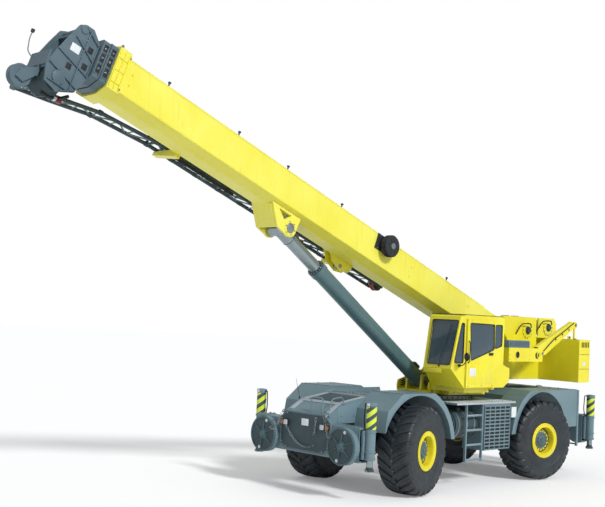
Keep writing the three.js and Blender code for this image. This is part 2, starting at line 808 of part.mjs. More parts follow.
piece("turret_frame", turretFrame(), paint.yellow(), turret);
piece("counterweight", counterweight(), paint.yellow(), turret);
piece("main_hoist_drum", moved(drum(), 0, MAIN_DRUM_BACK, MAIN_DRUM_Z), paint.steel(), turret);
piece("aux_hoist_drum", moved(drum(), 0, AUX_DRUM_BACK, AUX_DRUM_Z), paint.steel(), turret);

// ---------- cab ----------
const CAB_FRONT_LOW = [1480, 2610];
const CAB_FRONT_HIGH = [1300, CAB_ROOF - 40];
const CAB_SIDE = [
  [DOOR_FRONT, CAB_FLOOR],
  CAB_FRONT_LOW,
  CAB_FRONT_HIGH,
  [1240, CAB_ROOF],
  [-240, CAB_ROOF],
  [-290, CAB_ROOF - 60],
  [-290, 2710],
  [-550, 2630],
  [-550, 2340],
  [-330, CAB_FLOOR],
];

/** The outline moved in by a wall on every side. */
function insetOutline(points, wall) {
  const count = points.length;
  return points.map((point, i) => {
    const before = points[(i + count - 1) % count];
    const after = points[(i + 1) % count];
    const edge = (a, b) => new THREE.Vector2(b[0] - a[0], b[1] - a[1]).normalize();
    const e0 = edge(before, point);
    const e1 = edge(point, after);
    const n0 = new THREE.Vector2(-e0.y, e0.x);
    const n1 = new THREE.Vector2(-e1.y, e1.x);
    const bisector = n0.clone().add(n1).normalize();
    const reach = wall / Math.max(bisector.dot(n0), 0.3);
    return [point[0] + bisector.x * reach, point[1] + bisector.y * reach];
  });
}

// The cab's front left corner is cut by a plane through the door's front edge and the low corner of
// the windscreen.
const CORNER_X = 1370; // where the corner plane meets the foot of the windscreen
const cornerA = V(CORNER_X, -CAB_FRONT_LOW[0], CAB_FRONT_LOW[1]);
const cornerB = V(CAB_LEFT, -DOOR_FRONT, DOOR_BOTTOM + 185);
const cornerC = V(CAB_LEFT, -DOOR_FRONT, DOOR_TOP);
const cornerNormal = cornerB.clone().sub(cornerA).cross(cornerC.clone().sub(cornerA)).normalize();
const cornerRight = cornerNormal.clone().cross(V(0, 0, 1)).normalize().negate();
const cornerUp = cornerNormal.clone().cross(cornerRight);

/** Everything outside the corner plane, moved in by depth. */
function cornerCut(depth) {
  const square = [
    [-2500, -2500],
    [2500, -2500],
    [2500, 2500],
    [-2500, 2500],
  ];
  return onPlane(cornerA, cornerRight, cornerUp, square, -depth, 800);
}

/** The corner window's outline on the corner plane, from points of [ahead, z]. */
function cornerOutline(points) {
  const offset = cornerNormal.dot(cornerA);
  return points.map(([ahead, z]) => {
    const x = (offset + cornerNormal.y * ahead - cornerNormal.z * z) / cornerNormal.x;
    const from = V(x, -ahead, z).sub(cornerA);
    return [from.dot(cornerRight), from.dot(cornerUp)];
  });
}

const CORNER_WINDOW = cornerOutline([
  [1410, 2740],
  [1215, 2740],
  [1215, 3610],
  [1272, 3610],
]);
const REAR_WINDOW = [
  [-220, 3130],
  [60, 3060],
  [60, 3610],
  [-220, 3610],
];
const RIGHT_WINDOW = [
  [-100, 2900],
  [1150, 2800],
  [1150, 3600],
  [-100, 3600],
];
const SCREEN_LOW = 80; // up the slope from its foot to the glass
const SCREEN_HIGH = 1070;
const SCREEN_RIGHT = CAB_RIGHT + 90;
const SCREEN_LEFT_HIGH = 1420;
const screenFoot = V(0, -CAB_FRONT_LOW[0], CAB_FRONT_LOW[1]);
const screenUp = V(0, -CAB_FRONT_HIGH[0], CAB_FRONT_HIGH[1]).sub(screenFoot).normalize();
const SCREEN = [
  [SCREEN_RIGHT, SCREEN_LOW],
  [CORNER_X - 40, SCREEN_LOW],
  [SCREEN_LEFT_HIGH, SCREEN_HIGH],
  [SCREEN_RIGHT, SCREEN_HIGH],
];
const screenPrism = (points, near, far) => onPlane(screenFoot, V(1, 0, 0), screenUp, points, near, far);

/** A window plate that fills an opening with a small gap all round. */
function pane(points, x0, x1) {
  return prismX(insetOutline(points, GAP), x0, x1);
}

const DOOR = [
  [DOOR_BACK, DOOR_BOTTOM],
  [DOOR_FRONT, DOOR_BOTTOM],
  [DOOR_FRONT, DOOR_TOP],
  [DOOR_BACK, DOOR_TOP],
];
const DOORWAY = insetOutline(DOOR, 60);
const BACK_WINDOW = { x0: CAB_RIGHT + 110, x1: CAB_LEFT - 110, z0: 2880, z1: 3600 };

function cabShell() {
  const outer = prismX(CAB_SIDE, CAB_RIGHT, CAB_LEFT).subtract(cornerCut(0));
  const room = prismX(insetOutline(CAB_SIDE, CAB_WALL), CAB_RIGHT + CAB_WALL, CAB_LEFT - CAB_WALL);
  const leftCut = (points) => prismX(points, CAB_LEFT - CAB_WALL - 5, CAB_LEFT + 5);
  const rightCut = (points) => prismX(points, CAB_RIGHT - 5, CAB_RIGHT + CAB_WALL + 5);
  const { x0, x1, z0, z1 } = BACK_WINDOW;
  return outer
    .subtract(room.subtract(cornerCut(CAB_WALL)))
    .subtract(leftCut(DOORWAY))
    .subtract(leftCut(REAR_WINDOW))
    .subtract(rightCut(RIGHT_WINDOW))
    .subtract(screenPrism(SCREEN, -CAB_WALL - 10, 10))
    .subtract(onPlane(cornerA, cornerRight, cornerUp, CORNER_WINDOW, -CAB_WALL - 10, 10))
    .subtract(box(x0, x1, 290 - CAB_WALL - 10, 300, z0, z1));
}

const DOOR_WINDOW = [
  [150, 3050],
  [1020, 2800],
  [1090, 3620],
  [160, 3610],
];

function cabDoor() {
  const slab = prismX(DOOR, CAB_LEFT + CLEAR, CAB_LEFT + CLEAR + DOOR_THICKNESS, [DOOR_WINDOW]);
  // two runners ride on the shell's outer face
  const runner = (z) => box(CAB_LEFT + GAP, CAB_LEFT + CLEAR + 1, -560, -240, z, z + 18);
  return union(slab, runner(DOOR_BOTTOM + 12), runner(DOOR_TOP - 45));
}

/** Seat on its pedestal, with a backrest. */
function operatorSeat() {
  const middle = (CAB_RIGHT + CAB_LEFT) / 2;
  const floor = CAB_FLOOR + CAB_WALL + GAP;
  return union(
    box(middle - 130, middle + 130, -480, -180, floor, floor + 290),
    box(middle - 250, middle + 250, -620, -80, floor + 280, floor + 420),
    prismX(
      [
        [40, floor + 400],
        [170, floor + 400],
        [60, floor + 1120],
        [-60, floor + 1120],
      ],
      middle - 240,
      middle + 240,
    ),
  );
}

/** Steering column with its wheel, and a dash in front of it. */
function controlColumn() {
  const middle = (CAB_RIGHT + CAB_LEFT) / 2;
  const floor = CAB_FLOOR + CAB_WALL + GAP;
  const column = bar(45, V(middle, -1110, 2300), V(middle, -960, 2900), 12);
  const wheelAxis = V(0, 150, 600).normalize();
  const centre = V(middle, -960, 2900);
  const wheel = bar(
    190,
    centre.clone().addScaledVector(wheelAxis, -12),
    centre.clone().addScaledVector(wheelAxis, 18),
    20,
  );
  return union(column, wheel, box(middle - 170, middle + 170, -1140, -1040, floor, 2640));
}

const cabLeftGlass = [CAB_LEFT - CAB_WALL / 2 - GLASS / 2, CAB_LEFT - CAB_WALL / 2 + GLASS / 2];
const cabRightGlass = [CAB_RIGHT + CAB_WALL / 2 - GLASS / 2, CAB_RIGHT + CAB_WALL / 2 + GLASS / 2];
const doorMiddle = CAB_LEFT + CLEAR + DOOR_THICKNESS / 2;

piece("cab_shell", cabShell(), paint.yellow(), turret);
piece("cab_door", cabDoor(), paint.yellow(), turret);
piece("door_glass", pane(DOOR_WINDOW, doorMiddle - GLASS / 2, doorMiddle + GLASS / 2), paint.glass(), turret);
piece(
  "corner_glass",
  onPlane(
    cornerA,
    cornerRight,
    cornerUp,
    insetOutline(CORNER_WINDOW, GAP),
    -CAB_WALL / 2 - GLASS / 2,
    -CAB_WALL / 2 + GLASS / 2,
  ),
  paint.glass(),
  turret,
);
piece("rear_side_glass", pane(REAR_WINDOW, ...cabLeftGlass), paint.glass(), turret);
piece("right_glass", pane(RIGHT_WINDOW, ...cabRightGlass), paint.glass(), turret);
piece(
  "windscreen",
  screenPrism(insetOutline(SCREEN, GAP), -CAB_WALL / 2 - GLASS / 2, -CAB_WALL / 2 + GLASS / 2),
  paint.glass(),
  turret,
);
piece(
  "back_glass",
  box(
    BACK_WINDOW.x0 + GAP,
    BACK_WINDOW.x1 - GAP,
    290 - CAB_WALL / 2 - GLASS / 2,
    290 - CAB_WALL / 2 + GLASS / 2,
    BACK_WINDOW.z0 + GAP,
    BACK_WINDOW.z1 - GAP,
  ),
  paint.glass(),
  turret,
);
piece("operator_seat", operatorSeat(), paint.black(), turret);
piece("control_column", controlColumn(), paint.black(), turret);

// ---------- boom ----------
// Inside this group a point is (x, -along, above): along the boom from its pivot, and above the line
// from the pivot along the boom.
const boom = placed(turret, 0, BOOM_PIVOT_BACK, BOOM_PIVOT_Z);
boom.rotation.x = -rad(BOOM_ANGLE);

/** The section's outline, made smaller by inset on every side: flat top, upright sides, shallow keel. */
function boomOutline(inset) {
  const half = BOOM_HALF_WIDTH - inset;
  const keel = KEEL_HALF_WIDTH - inset * 0.3;
  const top = BOOM_TOP - inset;
  const low = BOOM_KEEL + inset;
  const fold = BOOM_FOLD + inset * 0.9;
  return [
    [-keel, low],
    [keel, low],
    [half, fold],
    [half, top - 30],
    [half - 30, top],
    [-half + 30, top],
    [-half, top - 30],
    [-half, fold],
  ];
}

function boomTube(inset, from, to) {
  return prismY(boomOutline(inset), to, from, [boomOutline(inset + BOOM_WALL).reverse()]);
}

/** A stiffening collar round a section's head, with an opening for the next section. */
function boomCollar(inset, from, to, grow) {
  return prismY(boomOutline(inset - grow), to, from, [boomOutline(inset + BOOM_WALL).reverse()]);
}

/** A wear pad on the keel, which the next section slides on. */
function wearPad(inset, at) {
  const low = BOOM_KEEL + inset + BOOM_WALL;
  const high = BOOM_KEEL + inset + SECTION_STEP;
  return box(-140, 140, -at, -at + 260, low - 2, high - GAP);
}

/** Ears under the base section that hold the lift cylinder's eye. */
function cylinderBracket() {
  const eye = [EYE_ALONG, -EYE_BELOW];
  const top = BOOM_KEEL + 55;
  const ear = prismX(
    [
      [EYE_ALONG - 200, top],
      ...arc(eye[0], eye[1], EYE_RADIUS + 25, 170, 300, 7),
      [EYE_ALONG + 330, eye[1] - 110],
      [EYE_ALONG + 640, top],
    ],
    EAR_INNER,
    EAR_INNER + EAR_THICKNESS,
    [
      [
        [EYE_ALONG + 60, -20],
        [EYE_ALONG + 215, -170],
        [EYE_ALONG + 420, -20],
      ],
    ],
  );
  const stub = barX(70, EYE_HALF_WIDTH + CLEAR, EAR_INNER + 10, -eye[0], eye[1], 16);
  const face = prismX(
    [
      [EYE_ALONG + 300, eye[1] - 110],
      [EYE_ALONG + 330, eye[1] - 110],
      [EYE_ALONG + 640, -10],
      [EYE_ALONG + 560, -10],
    ],
    -EAR_INNER - 1,
    EAR_INNER + 1,
  );
  return union(bothSides(union(ear, stub)), face);
}

/** Plates that run back from the tube to the boom's pivot, with a cover between them. */
function boomHeel() {
  const side = [
    [BASE_START + 300, BOOM_TOP - 32],
    [HEEL_END, BOOM_TOP - 32],
    [HEEL_END - 25, BOOM_TOP - 240],
    ...arc(0, 0, 210, 150, 260, 6),
    [BASE_START + 300, BOOM_FOLD + 10],
  ];
  const plates = bothSides(prismX(side, BOOM_HALF_WIDTH - 75, BOOM_HALF_WIDTH - 2));
  const half = BOOM_HALF_WIDTH - 3;
  return plates.add(box(-half, half, -BASE_START - 10, -HEEL_END, BOOM_TOP - 60, BOOM_TOP - 33));
}

/** Arms under the boom's right side that carry the stowed jib. */
function jibCarrier(at) {
  const seat = JIB_LOW - CHORD_RADIUS * Math.cos(Math.PI / CHORD_SIDES) - GAP;
  const points = [
    [-JIB_INNER - JIB_WIDTH - 60, seat],
    [-JIB_INNER - JIB_WIDTH - 60, seat - 70],
    [-KEEL_HALF_WIDTH - 20, BOOM_KEEL - 60],
    [-KEEL_HALF_WIDTH - 20, BOOM_KEEL + 18],
    [-BOOM_HALF_WIDTH + 10, BOOM_FOLD + 3],
    [-BOOM_HALF_WIDTH - 20, seat],
  ];
  return prismY(points, at + 60, at - 60);
}

function boomBase() {
  const tube = boomTube(0, BASE_START, BASE_END);
  const collar = boomCollar(0, BASE_END - 250, BASE_END, 65);
  const heel = boomHeel();
  const bore = barX(holeFor(BOOM_PIN_RADIUS), -500, 500, 0, 0);
  const bracket = cylinderBracket();
  const pad = wearPad(0, BASE_END - 20);
  return union(tube, collar, heel, bracket, pad, jibCarrier(4600), jibCarrier(9600)).subtract(bore);
}

const SECTION_2_START = 900;
const SECTION_3_START = 960;
const SECTION_4_START = 1020;
const COLLAR_2 = BASE_END + CLEAR;
const COLLAR_3 = COLLAR_2 + COLLAR_LENGTH + CLEAR;
const COLLAR_4 = COLLAR_3 + COLLAR_LENGTH + CLEAR;

function boomSection(step, from, collarAt) {
  const inset = SECTION_STEP * step;
  const tube = boomTube(inset, from, collarAt + COLLAR_LENGTH);
  const collar = boomCollar(inset, collarAt, collarAt + COLLAR_LENGTH, inset + 40 - 14 * step);
  return union(tube, collar, wearPad(inset, collarAt + COLLAR_LENGTH - 15));
}

/** The last section with the nose plates, their shafts and the arms of the auxiliary nose. */
function boomTip() {
  const inset = SECTION_STEP * 3;
  const tube = boomTube(inset, SECTION_4_START, NOSE_START);
  const [sheaveAt, sheaveUp] = NOSE_SHEAVE_AT;
  const [auxAt, auxUp] = AUX_SHEAVE_AT;
  const back = COLLAR_4;
  const cheek = prismX(
    [
      [back, BOOM_TOP - 90],
      [back, -20],
      [back + 120, -330],
      [sheaveAt - 60, -480],
      [sheaveAt + 210, -400],
      [sheaveAt + 290, -120],
      [sheaveAt + 90, 480],
      [sheaveAt - 20, BOOM_TOP + 20],
      [sheaveAt - 130, BOOM_TOP + 80],
      [back + 190, BOOM_TOP + 80],
    ],
    NOSE_HALF_WIDTH - NOSE_PLATE,
    NOSE_HALF_WIDTH,
  );
  const innerCheek = box(
    BOOM_HALF_WIDTH - inset - 2,
    NOSE_HALF_WIDTH - NOSE_PLATE + 2,
    -NOSE_START,
    -back,
    100,
    BOOM_TOP - 150,
  );
  const reach = NOSE_HALF_WIDTH - NOSE_PLATE + 2;
  const topPlate = box(-reach, reach, -(sheaveAt - 40), -(back + 150), BOOM_TOP - 130, BOOM_TOP - 100);
  const upperShaft = barX(45, -reach, reach, -(sheaveAt - 120), BOOM_TOP - 10, 12);
  const sheaveShaft = barX(NOSE_SHAFT_RADIUS, -reach, reach, -sheaveAt, sheaveUp);
  const auxArm = prismX(
    [
      [sheaveAt + 250, -160],
      [sheaveAt + 250, -330],
      [auxAt - 60, auxUp - 90],
      [auxAt + 90, auxUp - 60],
      [auxAt + 60, auxUp + 90],
    ],
    AUX_SHEAVE_HALF_WIDTH + CLEAR,
    AUX_SHEAVE_HALF_WIDTH + CLEAR + 35,
  );
  const auxTie = box(-reach, reach, -(sheaveAt + 286), -(sheaveAt + 256), -150, 120);
  const armReach = AUX_SHEAVE_HALF_WIDTH + CLEAR + 1;
  const auxShaft = barX(AUX_SHAFT_RADIUS, -armReach, armReach, -auxAt, auxUp);
  const armRoot = box(armReach, armReach + 40, -(sheaveAt + 286), -(sheaveAt + 240), -330, -140);
  return union(
    tube,
    bothSides(union(cheek, innerCheek, auxArm, armRoot)),
    topPlate,
    upperShaft,
    sheaveShaft,
    auxTie,
    auxShaft,
  );
}

/** A grooved sheave, or a row of them, turning on a shaft. */
function sheaves(radius, halfWidth, grooves, bore) {
  const pitch = (2 * halfWidth) / grooves;
  const rimPoints = [];
  for (let i = 0; i < grooves; i += 1) {
    const left = -halfWidth + i * pitch;
    rimPoints.push([radius, left], [radius - 40, left + pitch / 2]);
  }
  rimPoints.push([radius, halfWidth]);
  return turnedX([[bore, -halfWidth], [bore, halfWidth], ...rimPoints.reverse()]);
}

/** The lattice jib, folded back along the boom's right side. */
function swingAwayJib() {
  const x0 = -JIB_INNER;
  const x1 = -JIB_INNER - JIB_WIDTH;
  const low = JIB_LOW;
  const high = JIB_LOW + JIB_HEIGHT;
  const straightEnd = 9900;
  const at = (x, along, up) => V(x, -along, up);
  const chord = (...points) =>
    union(...points.slice(1).map((point, i) => bar(CHORD_RADIUS, points[i], point, CHORD_SIDES)));
  const lower = (x) =>
    chord(
      at(x, JIB_TIP, low),
      at(x, straightEnd, low),
      at(x, straightEnd + 1300, low - 110),
      at(x, JIB_ROOT - 700, low - 290),
      at(x, JIB_ROOT, low - JIB_DROP),
    );
  const upper = (x) =>
    chord(
      at(x, JIB_TIP, low + 160),
      at(x, 4200, high),
      at(x, JIB_ROOT - 900, high),
      at(x, JIB_ROOT, low - JIB_DROP + 260),
    );
  const chords = union(lower(x0), lower(x1), upper(x0), upper(x1));
  const lacing = [];
  const bays = 9;
  const bay = (straightEnd - 4200) / bays;
  for (let i = 0; i < bays; i += 1) {
    const a = 4200 + i * bay;
    const b = a + bay;
    const [h0, h1] = i % 2 ? [low, high] : [high, low];
    const [c0, c1] = i % 2 ? [x0, x1] : [x1, x0];
    lacing.push(bar(LACING_RADIUS, at(x0, a, h0), at(x0, b, h1), 5));
    lacing.push(bar(LACING_RADIUS, at(x1, a, h1), at(x1, b, h0), 5));
    lacing.push(bar(LACING_RADIUS, at(c0, a, low), at(c1, b, low), 5));
  }
  const frames = [JIB_TIP, 4200, straightEnd, JIB_ROOT].flatMap((along) => {
    const bottom = along > straightEnd ? low - JIB_DROP : low;
    const taper = along > straightEnd ? bottom + 260 : high;
    const top = along < 4200 ? low + 160 : taper;
    return [
      bar(LACING_RADIUS + 8, at(x0, along, bottom), at(x1, along, bottom), 6),
      bar(LACING_RADIUS + 8, at(x0, along, top), at(x1, along, top), 6),
      bar(LACING_RADIUS + 8, at(x0, along, bottom), at(x0, along, top), 6),
      bar(LACING_RADIUS + 8, at(x1, along, bottom), at(x1, along, top), 6),
    ];
  });
  const tipSheave = barX(140, x1 + 100, x0 - 100, -JIB_TIP, low + 60, 20);
  const tipShaft = barX(30, x1, x0, -JIB_TIP, low + 60, 10);
  const tipPlate = box(x0 - 20, x0 + 20, -JIB_TIP - 60, -JIB_TIP + 60, low - 20, low + 180);
  const tipPlates = union(tipPlate, moved(tipPlate, -JIB_WIDTH, 0, 0));
  return union(chords, ...lacing, ...frames, tipSheave, tipShaft, tipPlates);
}

function cableReel() {
  const at = { along: 4200, up: 560 };
  const x0 = BOOM_HALF_WIDTH + GAP;
  const plate = box(x0, x0 + 20, -(at.along + 330), -(at.along - 60), at.up - 170, at.up + 170);
  return union(
    plate,
    barX(60, x0 + 10, x0 + 80, -at.along, at.up, 12),
    barX(230, x0 + 60, x0 + 200, -at.along, at.up, 24),
  );
}

piece("boom_base", boomBase(), paint.yellow(), boom);
piece("boom_section_2", boomSection(1, SECTION_2_START, COLLAR_2), paint.darkGrey(), boom);
piece("boom_section_3", boomSection(2, SECTION_3_START, COLLAR_3), paint.darkGrey(), boom);
piece("boom_tip", boomTip(), paint.darkGrey(), boom);
piece(
  "nose_sheaves",
  moved(
    sheaves(NOSE_SHEAVE_RADIUS, NOSE_HALF_WIDTH - NOSE_PLATE - 20, 5, NOSE_SHAFT_RADIUS + PIN_GAP),
    0,
    -NOSE_SHEAVE_AT[0],
    NOSE_SHEAVE_AT[1],
  ),
  paint.darkGrey(),
  boom,
);
piece(
  "aux_nose_sheave",
  moved(
    sheaves(AUX_SHEAVE_RADIUS, AUX_SHEAVE_HALF_WIDTH, 1, AUX_SHAFT_RADIUS + PIN_GAP),
    0,
    -AUX_SHEAVE_AT[0],
    AUX_SHEAVE_AT[1],
  ),
  paint.darkGrey(),
  boom,
);
piece("swing_away_jib", swingAwayJib(), paint.darkGrey(), boom);
piece("cable_reel", cableReel(), paint.black(), boom);
piece(
  "boom_pivot_pin",
  union(
    barX(BOOM_PIN_RADIUS, -PLATE_OUT - 30, PLATE_OUT + 30, 0, 0),
    bothSides(barX(BOOM_PIN_RADIUS + 45, PLATE_OUT + GAP, PLATE_OUT + 30, 0, 0)),
  ),
  paint.steel(),
  boom,
);

// ---------- lift cylinder ----------
// Inside this group a point is (x, -along, above): along the cylinder from its foot pin.
const foot = V(0, -FOOT_AHEAD, FOOT_Z);
const eyeInTurret = V(0, -EYE_ALONG, -EYE_BELOW)
  .applyAxisAngle(V(1, 0, 0), -rad(BOOM_ANGLE))
  .add(V(0, BOOM_PIVOT_BACK, BOOM_PIVOT_Z));
const reach = eyeInTurret.clone().sub(foot);
const CYLINDER_ANGLE = Math.atan2(reach.z, -reach.y);
const CYLINDER_LENGTH = reach.length();
const cylinder = placed(turret, foot.x, foot.y, foot.z);
cylinder.rotation.x = -CYLINDER_ANGLE;

const barY = (radius, from, to) => bar(radius, V(0, -from, 0), V(0, -to, 0));

function liftBarrel() {
  const tube = barY(BARREL_RADIUS, 90, BARREL_LENGTH);
  const head = barY(BARREL_RADIUS + 18, BARREL_LENGTH - 160, BARREL_LENGTH);
  const eye = barX(BARREL_RADIUS - 5, -150, 150, 0, 0);
  const bore = barY(BARREL_BORE, 250, BARREL_LENGTH - 130);
  const gland = barY(ROD_RADIUS + GAP, BARREL_LENGTH - 131, BARREL_LENGTH + 1);
  const pinBore = barX(holeFor(FOOT_PIN_RADIUS), -200, 200, 0, 0);
  return union(tube, head, eye).subtract(bore).subtract(gland).subtract(pinBore);
}

function liftRod() {
  const eye = barX(EYE_RADIUS, -EYE_HALF_WIDTH, EYE_HALF_WIDTH, -CYLINDER_LENGTH, 0);
  const collar = barY(EYE_RADIUS - 3, CYLINDER_LENGTH - 330, CYLINDER_LENGTH - 60);
  return union(barY(ROD_RADIUS, ROD_START, CYLINDER_LENGTH), collar, eye);
}

piece("lift_cylinder_barrel", liftBarrel(), paint.grey(), cylinder);
piece("lift_cylinder_rod", liftRod(), paint.steel(), cylinder);
piece(
  "lift_piston_ring",
  barY(BARREL_BORE - GAP, PISTON_AT, PISTON_AT + 60).subtract(
    barY(ROD_RADIUS + GAP, PISTON_AT - 1, PISTON_AT + 61),
  ),
  paint.steel(),
  cylinder,
);
piece(
  "cylinder_foot_pin",
  union(
    barX(FOOT_PIN_RADIUS, -LUG_OUTER - 25, LUG_OUTER + 25, 0, 0),
    bothSides(barX(FOOT_PIN_RADIUS + 40, LUG_OUTER + GAP, LUG_OUTER + 25, 0, 0)),
  ),
  paint.steel(),
  cylinder,
);

// ---------- the whole machine ----------
machine.updateMatrixWorld(true);
const extent = new THREE.Box3().setFromObject(machine);
machine.position.y = -(extent.min.y + extent.max.y) / 2;

const crane = new THREE.Group();
crane.add(machine);
export default crane;
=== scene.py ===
"""Looks for the mobile crane: finishes, detail pieces, floor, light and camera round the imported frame."""

import json
import logging
import math
from dataclasses import dataclass, field
from enum import Enum
from typing import Iterable, Sequence

import bmesh
import bpy
from mathutils import Matrix, Vector

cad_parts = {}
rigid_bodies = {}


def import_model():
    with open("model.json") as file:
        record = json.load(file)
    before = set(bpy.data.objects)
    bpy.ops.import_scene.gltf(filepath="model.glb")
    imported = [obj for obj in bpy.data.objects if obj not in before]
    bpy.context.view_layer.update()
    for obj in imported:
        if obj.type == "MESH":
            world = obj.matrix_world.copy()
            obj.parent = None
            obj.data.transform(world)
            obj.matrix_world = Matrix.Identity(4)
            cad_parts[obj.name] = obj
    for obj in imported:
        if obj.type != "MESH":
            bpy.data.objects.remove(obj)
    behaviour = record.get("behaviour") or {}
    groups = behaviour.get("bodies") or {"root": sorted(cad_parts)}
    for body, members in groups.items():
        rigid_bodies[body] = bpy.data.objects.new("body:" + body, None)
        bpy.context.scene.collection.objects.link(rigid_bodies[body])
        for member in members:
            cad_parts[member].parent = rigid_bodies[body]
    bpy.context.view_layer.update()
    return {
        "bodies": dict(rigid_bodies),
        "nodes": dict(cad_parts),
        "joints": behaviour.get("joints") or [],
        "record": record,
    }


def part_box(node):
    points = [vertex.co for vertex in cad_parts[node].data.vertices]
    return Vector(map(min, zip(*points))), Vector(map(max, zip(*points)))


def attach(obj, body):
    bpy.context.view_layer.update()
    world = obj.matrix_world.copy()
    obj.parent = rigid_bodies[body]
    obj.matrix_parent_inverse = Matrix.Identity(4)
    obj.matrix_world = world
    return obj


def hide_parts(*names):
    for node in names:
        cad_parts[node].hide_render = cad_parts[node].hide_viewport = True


LOG = logging.getLogger("crane")
Point = Sequence[float]
Tree = bpy.types.NodeTree
Socket = bpy.types.NodeSocket
Colour = tuple[float, float, float, float]
Display = tuple[int, int, int]
Part = bmesh.types.BMesh
HERE = Matrix.Identity(4)
ONCE = (HERE,)


class Slot(Enum):
    """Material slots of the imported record."""

    YELLOW = "yellow_paint"
    GREY = "grey_paint"
    DARK = "dark_paint"
    RUBBER = "tyre_rubber"
    STEEL = "bright_steel"
    GLASS = "window_glass"
    PLASTIC = "black_plastic"
    IRON = "iron"


class Side(Enum):
    """The two sides of the machine, with the sign of x on each."""

    LEFT = 1
    RIGHT = -1

    @property
    def key(self) -> str:
        """Returns: the side's word in node and body names."""
        return self.name.lower()


class End(Enum):
    """The two ends of the carrier."""

    FRONT = 1
    REAR = -1

    @property
    def key(self) -> str:
        """Returns: the end's word in node and body names."""
        return self.name.lower()


# ---------- finishes ----------
def linear(shown: Display) -> Colour:
    """Turns a display colour into a linear one.

    Args:
        shown: red, green and blue, 0 to 255.

    Returns:
        The linear colour with full alpha.
    """

    def one(value: float) -> float:
        """Returns: one channel in linear light."""
        value /= 255
        return value / 12.92 if value <= 0.04045 else ((value + 0.055) / 1.055) ** 2.4

    return (*(one(value) for value in shown), 1.0)


@dataclass(frozen=True)
class Finish:
    """One surface finish, with the detail that weathers it.

    Args:
        name: the material's name.
        slot: the record slot it belongs to.
        colour: main colour, as displayed.
        shade: second colour, mixed in by slow variation.
        dirt: colour of dust and streaks.
        dust: how much dust lies low down.
        streaks: how strong the runs down the sides are.
        rough: lowest and highest roughness.
        metallic: metallic value.
        coat: clear coat weight.
        grain: size of the fine relief, in marks a metre.
        relief: depth of the fine relief, in metres.
    """

    name: str
    slot: Slot
    colour: Display
    shade: Display
    dirt: Display = (120, 112, 96)
    dust: float = 0.25
    streaks: float = 0.2
    rough: tuple[float, float] = (0.35, 0.5)
    metallic: float = 0.0
    coat: float = 0.0
    grain: float = 160.0
    relief: float = 0.0004


@dataclass(frozen=True)
class StripeFinish(Finish):
    """A painted finish with slanted bands of a second colour.

    Args:
        band: colour of the bands.
        pitch: distance from band to band, up the piece.
        slant: how far a band climbs for each metre across.
    """

    band: Display = (214, 232, 60)
    pitch: float = 0.19
    slant: float = 0.55


@dataclass(frozen=True)
class GlassFinish(Finish):
    """Tinted safety glass."""


@dataclass(frozen=True)
class LampFinish(Finish):
    """A lamp lens with ribs pressed into it."""


YELLOW = Finish(
    "paint_yellow", Slot.YELLOW, (236, 228, 52), (228, 214, 34), (128, 112, 48),
    0.12, 0.16, (0.3, 0.46), coat=0.25,
)
# The boom's yellow is the same yellow paint made paler than the carrier's: the pale tone is painted sheen of
# the white studio light on the boom's sides.
BOOM_YELLOW_PAINTED_SHEEN = Finish(
    "paint_boom_yellow", Slot.YELLOW, (238, 232, 96), (232, 223, 70), (132, 118, 52),
    0.0, 0.22, (0.3, 0.46), coat=0.25,
)
RIM_YELLOW = Finish(
    "paint_rim_yellow", Slot.YELLOW, (236, 222, 26), (222, 202, 18), (110, 98, 62),
    0.3, 0.2, (0.34, 0.52), coat=0.15,
)
GREY = Finish(
    "paint_grey", Slot.GREY, (112, 137, 146), (100, 126, 136), (122, 130, 126),
    0.14, 0.2, (0.34, 0.5), coat=0.15,
)
FLOAT_GREY = Finish(
    "paint_float_grey", Slot.GREY, (72, 99, 107), (62, 88, 96), (100, 108, 104),
    0.12, 0.26, (0.4, 0.58),
)
DARK = Finish(
    "paint_dark", Slot.DARK, (52, 74, 80), (42, 62, 68), (88, 94, 90),
    0.16, 0.2, (0.42, 0.6),
)
BOOM_GREY = Finish(
    "paint_boom_grey", Slot.DARK, (92, 112, 122), (76, 96, 106), (60, 66, 66),
    0.0, 0.4, (0.34, 0.5), coat=0.1,
)
CYLINDER = Finish(
    "paint_cylinder", Slot.GREY, (82, 112, 116), (72, 102, 106), (50, 58, 58),
    0.0, 0.3, (0.26, 0.38), coat=0.4,
)
ROD_STEEL = Finish(
    "steel_chromed", Slot.STEEL, (164, 178, 180), (148, 162, 166), (90, 96, 96),
    0.0, 0.3, (0.12, 0.24), 0.9, 0.0, 420, 0.0001,
)
STEEL = Finish(
    "steel_worn", Slot.STEEL, (168, 174, 176), (138, 144, 146), (96, 84, 70),
    0.2, 0.3, (0.28, 0.48), 0.85, 0.0, 260, 0.0003,
)
TREAD_PLATE = Finish(
    "plate_light", Slot.GREY, (196, 204, 212), (176, 184, 194), (130, 128, 118),
    0.2, 0.2, (0.34, 0.5), 0.35, 0.0, 120, 0.0004,
)
IRON = Finish(
    "iron_cast", Slot.IRON, (62, 68, 70), (46, 50, 52), (96, 84, 70),
    0.35, 0.2, (0.5, 0.7), 0.3, 0.0, 220, 0.0008,
)
RUBBER = Finish(
    "rubber_tyre", Slot.RUBBER, (34, 42, 49), (25, 31, 37), (84, 92, 94),
    0.26, 0.2, (0.36, 0.58), 0.0, 0.0, 320, 0.0006,
)
SEAL = Finish(
    "rubber_seal", Slot.RUBBER, (30, 34, 36), (24, 27, 29), (80, 80, 76),
    0.1, 0.1, (0.6, 0.78), 0.0, 0.0, 300, 0.0003,
)
PLASTIC = Finish(
    "plastic_black", Slot.PLASTIC, (40, 44, 47), (30, 34, 36), (90, 90, 84),
    0.12, 0.1, (0.42, 0.6), 0.0, 0.0, 420, 0.0002,
)
VINYL = Finish(
    "vinyl_seat", Slot.PLASTIC, (54, 58, 62), (44, 48, 52), (90, 90, 84),
    0.1, 0.05, (0.45, 0.62), 0.0, 0.0, 520, 0.0004,
)
